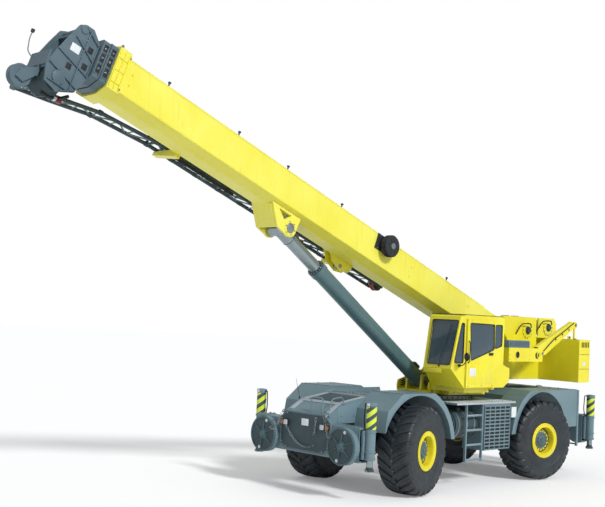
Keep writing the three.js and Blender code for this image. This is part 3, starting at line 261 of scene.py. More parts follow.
PLATE_WHITE = Finish(
    "plate_white", Slot.GREY, (228, 232, 234), (214, 219, 222), (150, 148, 140),
    0.15, 0.25, (0.3, 0.45), 0.0, 0.2, 200, 0.0001,
)
RED = Finish(
    "paint_red", Slot.DARK, (150, 38, 40), (128, 30, 32), (60, 48, 44),
    0.1, 0.2, (0.35, 0.5), 0.0, 0.2, 200, 0.0002,
)
ROPE = Finish(
    "rope_greased", Slot.STEEL, (92, 90, 84), (70, 68, 62), (40, 36, 30),
    0.0, 0.1, (0.35, 0.5), 0.6, 0.0, 600, 0.0012,
)
HAZARD = StripeFinish(
    "paint_hazard", Slot.DARK, (62, 80, 86), (54, 70, 76), (100, 100, 90),
    0.1, 0.2, (0.34, 0.5), 0.0, 0.1, 180, 0.0002,
)
GLASS = GlassFinish(
    "glass_tinted", Slot.GLASS, (104, 124, 138), (96, 116, 130), (140, 142, 136),
    0.1, 0.1, (0.03, 0.08),
)
AMBER = LampFinish(
    "lens_amber", Slot.PLASTIC, (186, 112, 44), (160, 84, 30), (90, 60, 30),
    0.0, 0.1, (0.15, 0.25), coat=0.6,
)
LENS = LampFinish(
    "lens_clear", Slot.PLASTIC, (206, 212, 222), (180, 190, 204), (120, 120, 116),
    0.0, 0.1, (0.08, 0.18), coat=0.8,
)
TAIL_RED = LampFinish(
    "lens_red", Slot.PLASTIC, (160, 30, 28), (120, 20, 20), (70, 30, 24),
    0.0, 0.1, (0.15, 0.25), coat=0.6,
)


@dataclass
class PaintShop:
    """Makes each finish's material once, from shared node groups."""

    made: dict[str, bpy.types.Material] = field(default_factory=dict)
    groups: dict[str, Tree] = field(default_factory=dict)

    def _group(
        self, name: str, inputs: dict[str, tuple[str, float]], outputs: Sequence[str],
    ) -> tuple[Tree, bpy.types.Node, bpy.types.Node]:
        """Starts a node group with named sockets.

        Args:
            name: the group's name.
            inputs: socket name to its type and default.
            outputs: names of its value outputs.

        Returns:
            The tree, its input node and its output node.
        """
        tree = bpy.data.node_groups.new(name, "ShaderNodeTree")
        for label, (kind, value) in inputs.items():
            socket = tree.interface.new_socket(label, in_out="INPUT", socket_type=kind)
            if kind == "NodeSocketFloat":
                socket.default_value = value
        for label in outputs:
            tree.interface.new_socket(label, in_out="OUTPUT", socket_type="NodeSocketFloat")
        self.groups[name] = tree
        return tree, tree.nodes.new("NodeGroupInput"), tree.nodes.new("NodeGroupOutput")

    @staticmethod
    def _noise(tree: Tree, vector: Socket, scale: float, detail: float, rough: float = 0.55) -> Socket:
        """Adds a noise texture.

        Args:
            tree: the tree to add to.
            vector: the socket with the coordinates.
            scale: marks a metre.
            detail: octaves.
            rough: how much each octave counts.

        Returns:
            The node's value socket.
        """
        node = tree.nodes.new("ShaderNodeTexNoise")
        node.inputs["Scale"].default_value = scale
        node.inputs["Detail"].default_value = detail
        node.inputs["Roughness"].default_value = rough
        tree.links.new(vector, node.inputs["Vector"])
        return node.outputs["Fac"]

    @staticmethod
    def _ramp(tree: Tree, value: Socket, low: float, high: float, to: Point = (0, 1)) -> Socket:
        """Maps a value from low..high to a range, held at its ends.

        Args:
            tree: the tree to add to.
            value: the socket to map.
            low: the value that gives the range's start.
            high: the value that gives its end.
            to: the range.

        Returns:
            The mapped socket.
        """
        node = tree.nodes.new("ShaderNodeMapRange")
        node.clamp = True
        node.inputs["From Min"].default_value = low
        node.inputs["From Max"].default_value = high
        node.inputs["To Min"].default_value = to[0]
        node.inputs["To Max"].default_value = to[1]
        tree.links.new(value, node.inputs["Value"])
        return node.outputs["Result"]

    @staticmethod
    def _maths(tree: Tree, operation: str, *values: Socket | float) -> Socket:
        """Adds a math node.

        Args:
            tree: the tree to add to.
            operation: the math operation.
            values: sockets or numbers, in order.

        Returns:
            The result's socket.
        """
        node = tree.nodes.new("ShaderNodeMath")
        node.operation = operation
        for socket, value in zip(node.inputs, values):
            if isinstance(value, (int, float)):
                socket.default_value = value
            else:
                tree.links.new(value, socket)
        return node.outputs[0]

    @staticmethod
    def _mix(tree: Tree, factor: Socket, first: Socket | Colour, second: Socket | Colour) -> Socket:
        """Mixes two colours.

        Args:
            tree: the tree to add to.
            factor: the share of the second colour.
            first: socket or colour.
            second: socket or colour.

        Returns:
            The mixed colour's socket.
        """
        node = tree.nodes.new("ShaderNodeMix")
        node.data_type = "RGBA"
        tree.links.new(factor, node.inputs["Factor"])
        for label, value in (("A", first), ("B", second)):
            socket = [s for s in node.inputs if s.name == label and s.type == "RGBA"][0]
            if isinstance(value, tuple):
                socket.default_value = value
            else:
                tree.links.new(value, socket)
        return [s for s in node.outputs if s.type == "RGBA"][0]

    def weather(self) -> Tree:
        """Makes the shared weathering group.

        Returns:
            A group that gives slow colour drift, dust low down, runs down the sides and small chips.
        """
        if "weather" in self.groups:
            return self.groups["weather"]
        tree, source, sink = self._group(
            "weather",
            {
                "Position": ("NodeSocketVector", 0), "Dust": ("NodeSocketFloat", 0.3),
                "Streaks": ("NodeSocketFloat", 0.2),
            },
            ("Drift", "Dirt", "Chips", "Wear"),
        )
        where = source.outputs["Position"]
        link = tree.links.new
        drift = self._noise(tree, where, 0.9, 5, 0.6)
        link(self._ramp(tree, drift, 0.35, 0.65), sink.inputs["Drift"])
        split = tree.nodes.new("ShaderNodeSeparateXYZ")
        link(where, split.inputs[0])
        low = self._ramp(tree, split.outputs["Z"], 2.6, 0.2)
        patchy = self._ramp(tree, self._noise(tree, where, 3.2, 8, 0.68), 0.36, 0.7)
        dust = self._maths(
            tree, "MULTIPLY", self._maths(tree, "MULTIPLY", low, patchy), source.outputs["Dust"],
        )
        squeeze = tree.nodes.new("ShaderNodeMapping")
        squeeze.inputs["Scale"].default_value = (9.0, 9.0, 0.7)
        link(where, squeeze.inputs["Vector"])
        runs = self._ramp(tree, self._noise(tree, squeeze.outputs[0], 1.6, 6, 0.7), 0.54, 0.8)
        runs = self._maths(tree, "MULTIPLY", runs, source.outputs["Streaks"])
        both = self._maths(tree, "ADD", dust, runs)
        capped = self._maths(tree, "MINIMUM", both, 0.85)
        link(capped, sink.inputs["Dirt"])
        chips = self._maths(
            tree, "MULTIPLY", self._ramp(tree, self._noise(tree, where, 34, 3, 0.6), 0.7, 0.74),
            self._ramp(tree, self._noise(tree, where, 2.1, 3), 0.5, 0.66),
        )
        link(chips, sink.inputs["Chips"])
        link(self._noise(tree, where, 12, 6, 0.6), sink.inputs["Wear"])
        return tree

    def relief(self) -> Tree:
        """Makes the shared fine relief group.

        Returns:
            A group that gives a height from grain and slow waves in the sheet.
        """
        if "relief" in self.groups:
            return self.groups["relief"]
        tree, source, sink = self._group(
            "relief", {"Position": ("NodeSocketVector", 0), "Grain": ("NodeSocketFloat", 160)}, ("Height",),
        )
        fine = tree.nodes.new("ShaderNodeTexNoise")
        fine.inputs["Detail"].default_value = 3
        tree.links.new(source.outputs["Position"], fine.inputs["Vector"])
        tree.links.new(source.outputs["Grain"], fine.inputs["Scale"])
        slow = self._noise(tree, source.outputs["Position"], 2.4, 2)
        total = self._maths(tree, "ADD", fine.outputs["Fac"], self._maths(tree, "MULTIPLY", slow, 6.0))
        tree.links.new(total, sink.inputs["Height"])
        return tree

    def material(self, finish: Finish) -> bpy.types.Material:
        """Gives the material of a finish.

        Args:
            finish: the finish.

        Returns:
            Its material, made at the first call.
        """
        if finish.name in self.made:
            return self.made[finish.name]
        material = bpy.data.materials.new(finish.name)
        material.use_nodes = True
        tree = material.node_tree
        shader = tree.nodes["Principled BSDF"]
        where = tree.nodes.new("ShaderNodeTexCoord").outputs["Object"]
        weather = tree.nodes.new("ShaderNodeGroup")
        weather.node_tree = self.weather()
        weather.inputs["Dust"].default_value = finish.dust
        weather.inputs["Streaks"].default_value = finish.streaks
        tree.links.new(where, weather.inputs["Position"])
        out = weather.outputs
        colour = self._mix(tree, out["Drift"], linear(finish.colour), linear(finish.shade))
        if isinstance(finish, StripeFinish):
            colour = self._mix(tree, self._bands(tree, where, finish), colour, linear(finish.band))
        chip = tuple(c * 0.35 for c in linear(finish.shade)[:3]) + (1.0,)
        chips = self._maths(tree, "MULTIPLY", out["Chips"], 0.5)
        colour = self._mix(tree, chips, colour, chip)
        colour = self._mix(tree, out["Dirt"], colour, linear(finish.dirt))
        tree.links.new(colour, shader.inputs["Base Color"])
        rough = self._ramp(tree, out["Wear"], 0.3, 0.7, finish.rough)
        dull = self._maths(tree, "ADD", rough, self._maths(tree, "MULTIPLY", out["Dirt"], 0.3))
        tree.links.new(dull, shader.inputs["Roughness"])
        shader.inputs["Metallic"].default_value = finish.metallic
        shader.inputs["Coat Weight"].default_value = finish.coat
        shader.inputs["Coat Roughness"].default_value = 0.12
        relief = tree.nodes.new("ShaderNodeGroup")
        relief.node_tree = self.relief()
        relief.inputs["Grain"].default_value = finish.grain
        tree.links.new(where, relief.inputs["Position"])
        bump = tree.nodes.new("ShaderNodeBump")
        bump.inputs["Strength"].default_value = 0.35
        bump.inputs["Distance"].default_value = finish.relief
        tree.links.new(relief.outputs["Height"], bump.inputs["Height"])
        tree.links.new(bump.outputs["Normal"], shader.inputs["Normal"])
        if isinstance(finish, GlassFinish):
            shader.inputs["Transmission Weight"].default_value = 0.55
            shader.inputs["IOR"].default_value = 1.45
        if isinstance(finish, LampFinish):
            self._pressed(tree, where, bump)
        self.made[finish.name] = material
        return material

    def _bands(self, tree: Tree, where: Socket, finish: StripeFinish) -> Socket:
        """Adds slanted bands.

        Args:
            tree: the material's tree.
            where: object coordinates.
            finish: the striped finish.

        Returns:
            A mask that is one on a band.
        """
        split = tree.nodes.new("ShaderNodeSeparateXYZ")
        tree.links.new(where, split.inputs[0])
        across = self._maths(tree, "ADD", split.outputs["X"], split.outputs["Y"])
        climb = self._maths(tree, "MULTIPLY", across, finish.slant)
        height = self._maths(tree, "SUBTRACT", split.outputs["Z"], climb)
        turn = self._maths(tree, "FRACT", self._maths(tree, "DIVIDE", height, finish.pitch))
        return self._ramp(tree, turn, 0.46, 0.48)

    def _pressed(self, tree: Tree, where: Socket, bump: bpy.types.Node) -> None:
        """Swaps a lens's fine relief for pressed ribs.

        Args:
            tree: the material's tree.
            where: object coordinates.
            bump: the material's bump node.
        """
        waves = tree.nodes.new("ShaderNodeTexWave")
        waves.inputs["Scale"].default_value = 28
        tree.links.new(where, waves.inputs["Vector"])
        tree.links.new(waves.outputs["Fac"], bump.inputs["Height"])
        bump.inputs["Distance"].default_value = 0.004


SHOP = PaintShop()


# ---------- mesh building ----------
class Shape:
    """A mesh built from primitives in a local frame, dressed and put in the row frame at the end."""

    def __init__(self, name: str, frame: Matrix | None = None) -> None:
        """Starts an empty shape.

        Args:
            name: the piece's name.
            frame: the local frame in the row frame.
        """
        self.name = name
        self.frame = frame or HERE
        self.mesh = bmesh.new()
        self.finishes: list[Finish] = []

    def _index(self, finish: Finish) -> int:
        """Gives a finish's slot number.

        Args:
            finish: the finish.

        Returns:
            Its number, added at first use.
        """
        if finish not in self.finishes:
            self.finishes.append(finish)
        return self.finishes.index(finish)

    def take(self, part: Part, finish: Finish, at: Iterable[Matrix] = ONCE) -> None:
        """Adds copies of a part and frees it.

        Args:
            part: the part, in local units.
            finish: its finish.
            at: where each copy goes.
        """
        number = self._index(finish)
        for face in part.faces:
            face.material_index = number
        source = bpy.data.meshes.new("part")
        part.to_mesh(source)
        part.free()
        for place in at:
            copy = source.copy()
            copy.transform(place)
            if place.determinant() < 0:
                copy.flip_normals()
            self.mesh.from_mesh(copy)
            bpy.data.meshes.remove(copy)
        bpy.data.meshes.remove(source)

    @staticmethod
    def soften(part: Part, size: float, steps: int = 2, angle: float = 30) -> None:
        """Rounds the sharp edges of a part.

        Args:
            part: the part.
            size: width of the rounding.
            steps: segments in it.
            angle: edges sharper than this are rounded, in degrees.
        """
        if size <= 0:
            return
        part.normal_update()
        sharp = [
            e for e in part.edges if len(e.link_faces) == 2 and e.calc_face_angle(0) > math.radians(angle)
        ]
        bmesh.ops.bevel(
            part, geom=sharp, offset=size, segments=steps, affect="EDGES", profile=0.5, material=-1,
            clamp_overlap=True,
        )

    def box(
        self, low: Point, high: Point, finish: Finish, bevel: float = 0.006, turn: Matrix | None = None,
    ) -> None:
        """Adds a block with rounded edges.

        Args:
            low: lowest corner.
            high: highest corner.
            finish: its finish.
            bevel: width of the rounding.
            turn: rotation about the block's middle.
        """
        a, b = Vector(low), Vector(high)
        part = bmesh.new()
        bmesh.ops.create_cube(part, size=1.0, matrix=Matrix.LocRotScale(None, None, b - a))
        self.soften(part, min(bevel, min(b - a) * 0.3))
        place = Matrix.Translation((a + b) / 2)
        self.take(part, finish, [place @ turn if turn else place])

    def bar(
        self, start: Point, end: Point, radius: float, finish: Finish, sides: int = 20, bevel: float = 0.0,
        tip: float | None = None,
    ) -> None:
        """Adds a round bar between two points.

        Args:
            start: one end.
            end: the other end.
            radius: radius at the start.
            finish: its finish.
            sides: sides round it.
            bevel: rounding of its end edges.
            tip: radius at the end, where it differs.
        """
        a, b = Vector(start), Vector(end)
        part = bmesh.new()
        bmesh.ops.create_cone(
            part, cap_ends=True, segments=sides, radius1=radius, radius2=radius if tip is None else tip,
            depth=(b - a).length,
        )
        self.soften(part, bevel, angle=50)
        turn = (b - a).to_track_quat("Z", "Y").to_matrix().to_4x4()
        self.take(part, finish, [Matrix.Translation((a + b) / 2) @ turn])

    def plate(
        self, outline: Sequence[Point], place: Matrix, thick: float, finish: Finish, bevel: float = 0.004,
        copies: Iterable[Matrix] = ONCE,
    ) -> None:
        """Adds a plate extruded from a flat outline.

        Args:
            outline: points in the plate's plane.
            place: the plane in the local frame, with its normal along Z.
            thick: thickness along the normal.
            finish: its finish.
            bevel: rounding of its edges.
            copies: where copies go in the local frame.
        """
        part = bmesh.new()
        face = part.faces.new([part.verts.new((x, y, 0)) for x, y in outline])
        grown = bmesh.ops.extrude_face_region(part, geom=[face])
        up = [v for v in grown["geom"] if isinstance(v, bmesh.types.BMVert)]
        bmesh.ops.translate(part, verts=up, vec=(0, 0, thick))
        bmesh.ops.recalc_face_normals(part, faces=part.faces)
        self.soften(part, bevel)
        self.take(part, finish, [copy @ place for copy in copies])

    def spin(
        self, profile: Sequence[Point], place: Matrix, finish: Finish, steps: int = 48,
        copies: Iterable[Matrix] = ONCE,
    ) -> None:
        """Adds a turned part from a closed profile.

        Args:
            profile: points of radius and height along the axis.
            place: the axis in the local frame, along Z.
            finish: its finish.
            steps: steps round it.
            copies: where copies go in the local frame.
        """
        part = bmesh.new()
        points = [part.verts.new((r, 0, h)) for r, h in profile]
        edges = [part.edges.new(pair) for pair in zip(points, points[1:] + points[:1])]
        bmesh.ops.spin(
            part, geom=points + edges, axis=(0, 0, 1), cent=(0, 0, 0), steps=steps, angle=math.tau,
            use_merge=True,
        )
        bmesh.ops.remove_doubles(part, verts=part.verts, dist=1e-6)
        bmesh.ops.recalc_face_normals(part, faces=part.faces)
        self.take(part, finish, [copy @ place for copy in copies])

    def loft(
        self, rings: Sequence[Sequence[Point]], finish: Finish, copies: Iterable[Matrix] = ONCE,
        bevel: float = 0.0,
    ) -> None:
        """Adds a closed body through matching rings of points.

        Args:
            rings: rings with as many points each.
            finish: its finish.
            copies: where copies go.
            bevel: rounding of its edges.
        """
        part = bmesh.new()
        rows = [[part.verts.new(p) for p in ring] for ring in rings]
        count = len(rows[0])
        for a, b in zip(rows, rows[1:]):
            for i in range(count):
                part.faces.new((a[i], a[(i + 1) % count], b[(i + 1) % count], b[i]))
        part.faces.new(rows[0])
        part.faces.new(rows[-1])
        bmesh.ops.recalc_face_normals(part, faces=part.faces)
        self.soften(part, bevel)
        self.take(part, finish, copies)

    def pipe(
        self, points: Sequence[Point], radius: float, finish: Finish, bend: float = 0.08, sides: int = 10,
    ) -> None:
        """Adds a bent pipe or rail along points, with rounded corners.

        Args:
            points: corners it passes.
            radius: its radius.
            finish: its finish.
            bend: how far from a corner the bend starts.
            sides: sides round it.
        """
        corners = [Vector(p) for p in points]
        path = [corners[0]]
        for before, here, after in zip(corners, corners[1:], corners[2:]):
            reach = min(bend, (here - before).length * 0.45, (after - here).length * 0.45)
            a = here + (before - here).normalized() * reach
            b = here + (after - here).normalized() * reach
            path += [a.lerp(here, t).lerp(here.lerp(b, t), t) for t in (0, 0.25, 0.5, 0.75, 1)]
        path.append(corners[-1])
        rings = []
        side = (path[1] - path[0]).orthogonal().normalized()
        for i, here in enumerate(path):
            ahead = (path[min(i + 1, len(path) - 1)] - path[max(i - 1, 0)]).normalized()
            side = (side - ahead * side.dot(ahead)).normalized()
            other = ahead.cross(side)
            turns = [math.tau * k / sides for k in range(sides)]
            rings.append([here + (side * math.cos(t) + other * math.sin(t)) * radius for t in turns])
        self.loft(rings, finish)

    def bolts(
        self, places: Iterable[Matrix], finish: Finish, across: float = 0.03, high: float = 0.016,
    ) -> None:
        """Adds hexagon bolts on washers.

        Args:
            places: where each goes, with its shank along Z.
            finish: their finish.
            across: width of the head.
            high: height of the head.
        """
        spots = list(places)
        head = bmesh.new()
        bmesh.ops.create_cone(
            head, cap_ends=True, segments=6, radius1=across / 2, radius2=across * 0.46, depth=high,
            matrix=Matrix.Translation((0, 0, high / 2 + 0.003)),
        )
        bmesh.ops.create_cone(
            head, cap_ends=True, segments=14, radius1=across * 0.72, radius2=across * 0.7, depth=0.006,
            matrix=Matrix.Translation((0, 0, 0.002)),
        )
        self.take(head, finish, spots)

    def finish(self, body: str, replaces: Sequence[str] = (), smooth: float = 32) -> bpy.types.Object:
        """Turns the shape into a piece that rides on a body.

        Args:
            body: the CAD body.
            replaces: CAD nodes that it stands for.
            smooth: edges flatter than this look smooth, in degrees.

        Returns:
            The piece.
        """
        data = bpy.data.meshes.new(self.name)
        self.mesh.to_mesh(data)
        self.mesh.free()
        data.transform(self.frame)
        if self.frame.determinant() < 0:
            data.flip_normals()
        for one in self.finishes:
            data.materials.append(SHOP.material(one))
        data.shade_smooth()
        data.set_sharp_from_angle(angle=math.radians(smooth))
        piece = bpy.data.objects.new(self.name, data)
        bpy.context.scene.collection.objects.link(piece)
        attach(piece, body)
        if replaces:
            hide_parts(*replaces)
        LOG.info("%s: %d faces on %s", self.name, len(data.polygons), body)
        return piece


def mirrored() -> Matrix:
    """Returns: the reflection that swaps left and right."""
    return Matrix.Scale(-1, 4, (1, 0, 0))


def ring_places(count: int, radius: float, height: float = 0.0, start: float = 0.0) -> list[Matrix]:
    """Spreads places round a circle.

    Args:
        count: how many.
        radius: the circle's radius.
        height: height along the axis.
        start: angle of the first, in degrees.

    Returns:
        A matrix for each, with X pointing outwards.
    """
    return [
        Matrix.Rotation(math.radians(start + 360 * i / count), 4, "Z") @ Matrix.Translation(
            (radius, 0, height)
        )
        for i in range(count)
    ]


AXIS_X = Matrix.Rotation(math.pi / 2, 4, "Y")
FACE_FRONT = Matrix.Rotation(math.pi / 2, 4, "X")
SIDE_PLANE = Matrix(((0, 0, 1, 0), (-1, 0, 0, 0), (0, 1, 0, 0), (0, 0, 0, 1)))


@dataclass(frozen=True)
class Site:
    """The machine's own frames inside the row frame.

    Args:
        slew_y: where the slewing axis is along the row frame's Y.
        boom_angle: the boom's angle above level, in degrees.
        joints: the record's joints by name.
    """

    slew_y: float
    boom_angle: float
    joints: dict[str, dict]

    @property
    def ground(self) -> Matrix:
        """Returns: the frame of (across, back from the slewing axis, up)."""
        return Matrix.Translation((0, self.slew_y, 0))

    @property
    def boom(self) -> Matrix:
        """Returns: the frame of (across, minus along the boom, above it)."""
        pivot = Matrix.Translation(self.joints["boom_lift"]["pos_m"])
        return pivot @ Matrix.Rotation(-math.radians(self.boom_angle), 4, "X")

    @property
    def cylinder(self) -> Matrix:
        """Returns: the frame of (across, minus along the lift cylinder, above it)."""
        axis = Vector(self.joints["cylinder_extend"]["axis"])
        tilt = math.atan2(axis.z, -axis.y)
        return Matrix.Translation(self.joints["cylinder_lift"]["pos_m"]) @ Matrix.Rotation(-tilt, 4, "X")

    def wheel(self, end: End, side: Side) -> Matrix:
        """Gives a wheel's frame.

        Args:
            end: the wheel's end of the machine.
            side: its side.

        Returns:
            The frame in the tyre's middle, with Z out along the axle.
        """
        joint = self.joints[f"wheel_{end.key}_{side.key}_roll"]
        steer = self.joints[f"steer_{end.key}_{side.key}"]
        axis = Vector(joint["axis"]) * side.value
        king = Vector(steer["pos_m"])
        middle = Vector((king.x, king.y, Vector(joint["pos_m"]).z)) + axis * 0.25
        up = Vector((0, 0, 1))
        ahead = up.cross(axis)
        turn = Matrix((up, ahead, axis)).transposed().to_4x4()
        return Matrix.Translation(middle) @ turn


def side_plate(x: float) -> Matrix:
    """Gives a plane facing +X for outlines of (ahead, up).

    Args:
        x: where the plane is.

    Returns:
        The plane's matrix.
    """
    return Matrix.Translation((x, 0, 0)) @ SIDE_PLANE


def at(x: float, ahead: float, up: float) -> Vector:
    """Gives a local point of a frame whose Y runs backwards.

    Args:
        x: across, left is positive.
        ahead: forwards, or along the boom.
        up: upwards.

    Returns:
        The local point.
    """
    return Vector((x, -ahead, up))


def block(
    shape: Shape, across: Point, ahead: Point, up: Point, finish: Finish, bevel: float = 0.006,
    turn: Matrix | None = None,
) -> None:
    """Adds a block by its three ranges.

    Args:
        shape: the shape it joins.
        across: range of x.
        ahead: range ahead.
        up: range of height.
        finish: its finish.
        bevel: rounding of its edges.
        turn: rotation about its middle.
    """
    low = (min(across), -max(ahead), min(up))
    high = (max(across), -min(ahead), max(up))
    shape.box(low, high, finish, bevel, turn)


def facing(x: float, ahead: float, up: float, normal: Point) -> Matrix:
    """Gives a place whose Z points along a normal.

    Args:
        x: across.
        ahead: forwards.
        up: upwards.
        normal: local direction.

    Returns:
        The place.
    """
    return Matrix.Translation(at(x, ahead, up)) @ Vector(normal).to_track_quat("Z", "Y").to_matrix().to_4x4()


OUT_LEFT = (1, 0, 0)
FORWARD = (0, -1, 0)
BACKWARD = (0, 1, 0)
UPWARD = (0, 0, 1)


def tread_marks(
    shape: Shape, across: Point, ahead: Point, up: float, finish: Finish, slope: float = 0.0,
) -> None:
    """Adds rows of raised lozenges to a deck.

    Args:
        shape: the shape they join.
        across: range of x.
        ahead: range ahead.
        up: the deck's height at the start of the range ahead.
        finish: their finish.
        slope: rise for each metre ahead.
    """
    pitch = 0.055
    places = []
    columns = int((across[1] - across[0]) / pitch)
    rows = int((ahead[1] - ahead[0]) / pitch)
    for i in range(columns):
        for k in range(rows):
            turn = Matrix.Rotation(math.radians(45 if (i + k) % 2 else -45), 4, "Z")
            run = (k + 0.5) * pitch
            spot = at(across[0] + (i + 0.5) * pitch, ahead[0] + run, up + run * slope)
            places.append(Matrix.Translation(spot) @ turn)
    part = bmesh.new()
    bmesh.ops.create_cone(
        part, cap_ends=True, segments=4, radius1=0.02, radius2=0.012, depth=0.006,
        matrix=Matrix.Diagonal((1.0, 0.36, 1.0, 1.0)),
    )
    shape.take(part, finish, places)


# ---------- wheels ----------
@dataclass
class Wheel:
    """A steered wheel: a lugged tyre, a dished rim and a planetary hub."""

    site: Site
    end: End
    side: Side
    lugs: int = 26

    @property
    def key(self) -> str:
        """Returns: the wheel's words in names."""
        return f"{self.end.key}_{self.side.key}"

    def tyre(self) -> None:
        """Builds the tyre."""
        shape = Shape(f"lugged_tyre_{self.key}", self.site.wheel(self.end, self.side))
        wall = [
            (0.3335, 0.318), (0.372, 0.322), (0.414, 0.331), (0.44, 0.344), (0.462, 0.3485), (0.478, 0.346),
            (0.49, 0.343), (0.53, 0.35), (0.59, 0.361), (0.622, 0.3655), (0.628, 0.37), (0.64, 0.3705),
            (0.646, 0.367), (0.70, 0.3705), (0.76, 0.368), (0.81, 0.357), (0.85, 0.336), (0.878, 0.305),
            (0.892, 0.24), (0.899, 0.14), (0.902, 0.0),
        ]
        back = [(r, -h) for r, h in reversed(wall[:-1])]
        shape.spin(wall + back, HERE, RUBBER, steps=104)
        self._tread(shape)
        shape.finish(f"wheel_{self.key}", [f"tyre_{self.key}"], smooth=28)

    def _tread(self, shape: Shape) -> None:
        """Adds the slanted lugs of both halves of the tread.

        Args:
            shape: the tyre's shape.
        """
        stations = [
            (0.893, 0.934, -0.02, 0.0, 0.062, 0.046), (0.893, 0.9335, 0.05, 4.0, 0.068, 0.054),
            (0.890, 0.931, 0.13, 7.6, 0.076, 0.062), (0.886, 0.926, 0.215, 10.6, 0.084, 0.068),
            (0.872, 0.914, 0.29, 13.0, 0.092, 0.074), (0.842, 0.888, 0.338, 14.3, 0.094, 0.074),
            (0.815, 0.848, 0.362, 15.0, 0.086, 0.066), (0.77, 0.79, 0.3735, 15.4, 0.066, 0.05),
        ]
        hand = self.side.value * self.end.value
        pitch = 360 / self.lugs
        for face in (1, -1):
            rings = []
            for base, top, out, skew, wide, narrow in stations:
                ring = []
                for radius, half in (
                    (base - 0.006, -wide), (top, -narrow), (top, narrow), (base - 0.006, wide),
                ):
                    lean = math.radians(hand * skew * 1.05) + half / radius
                    high = out if radius == top else out - 0.012
                    ring.append((radius * math.cos(lean), radius * math.sin(lean), face * high))
                rings.append(ring)
            start = 0.0 if face > 0 else pitch / 2
            turns = [Matrix.Rotation(math.radians(start + i * pitch), 4, "Z") for i in range(self.lugs)]
            shape.loft(rings, RUBBER, turns, bevel=0.006)

    def rim(self) -> None:
        """Builds the rim with its studs, and a dark ring of painted shadow in the groove of its dish."""
        shape = Shape(f"dished_rim_{self.key}", self.site.wheel(self.end, self.side))
        profile = [
            (0.0, 0.1), (0.0, 0.0605), (0.165, 0.0605), (0.262, 0.088), (0.302, 0.04), (0.309, -0.3),
            (0.312, -0.318), (0.331, -0.318), (0.331, 0.3175), (0.36, 0.3215), (0.392, 0.327), (0.406, 0.333),
            (0.411, 0.342), (0.408, 0.351), (0.396, 0.356), (0.382, 0.353), (0.366, 0.345), (0.35, 0.343),
            (0.338, 0.347), (0.326, 0.3505), (0.314, 0.347), (0.306, 0.336), (0.301, 0.318), (0.298, 0.245),
            (0.294, 0.212), (0.284, 0.2), (0.27, 0.2), (0.26, 0.21), (0.248, 0.218), (0.19, 0.218),
            (0.17, 0.1),
        ]
        shape.spin(profile, HERE, RIM_YELLOW, steps=88)
        shape.bolts(ring_places(16, 0.226, 0.2185, 6), STEEL, 0.03, 0.02)
        # Dark ring in the groove of the dish: painted shadow.
        shape.spin([(0.262, 0.2005), (0.29, 0.2005), (0.29, 0.207), (0.262, 0.207)], HERE, SEAL, 64)
        shape.bar((0.276, 0.0, 0.16), (0.276, 0.0, 0.245), 0.007, STEEL, 10, 0.001)
        shape.finish(f"wheel_{self.key}", [f"rim_{self.key}"], smooth=30)

    def hub(self) -> None:
        """Builds the planetary hub's cover."""
        shape = Shape(f"planetary_hub_{self.key}", self.site.wheel(self.end, self.side))
        profile = [
            (0.0, 0.296), (0.052, 0.296), (0.058, 0.29), (0.062, 0.278), (0.124, 0.274), (0.134, 0.268),
            (0.14, 0.25), (0.18, 0.245), (0.192, 0.238), (0.194, 0.22), (0.16, 0.2), (0.16, 0.102),
            (0.0, 0.102),
        ]
        shape.spin(profile, HERE, FLOAT_GREY, steps=56)
        shape.bolts(ring_places(12, 0.16, 0.2475), STEEL, 0.022, 0.012)
        shape.bolts(ring_places(6, 0.085, 0.2745, 15), STEEL, 0.018, 0.01)
        shape.finish(f"wheel_{self.key}")

    def build(self) -> None:
        """Builds the whole wheel."""
        self.tyre()
        self.rim()
        self.hub()


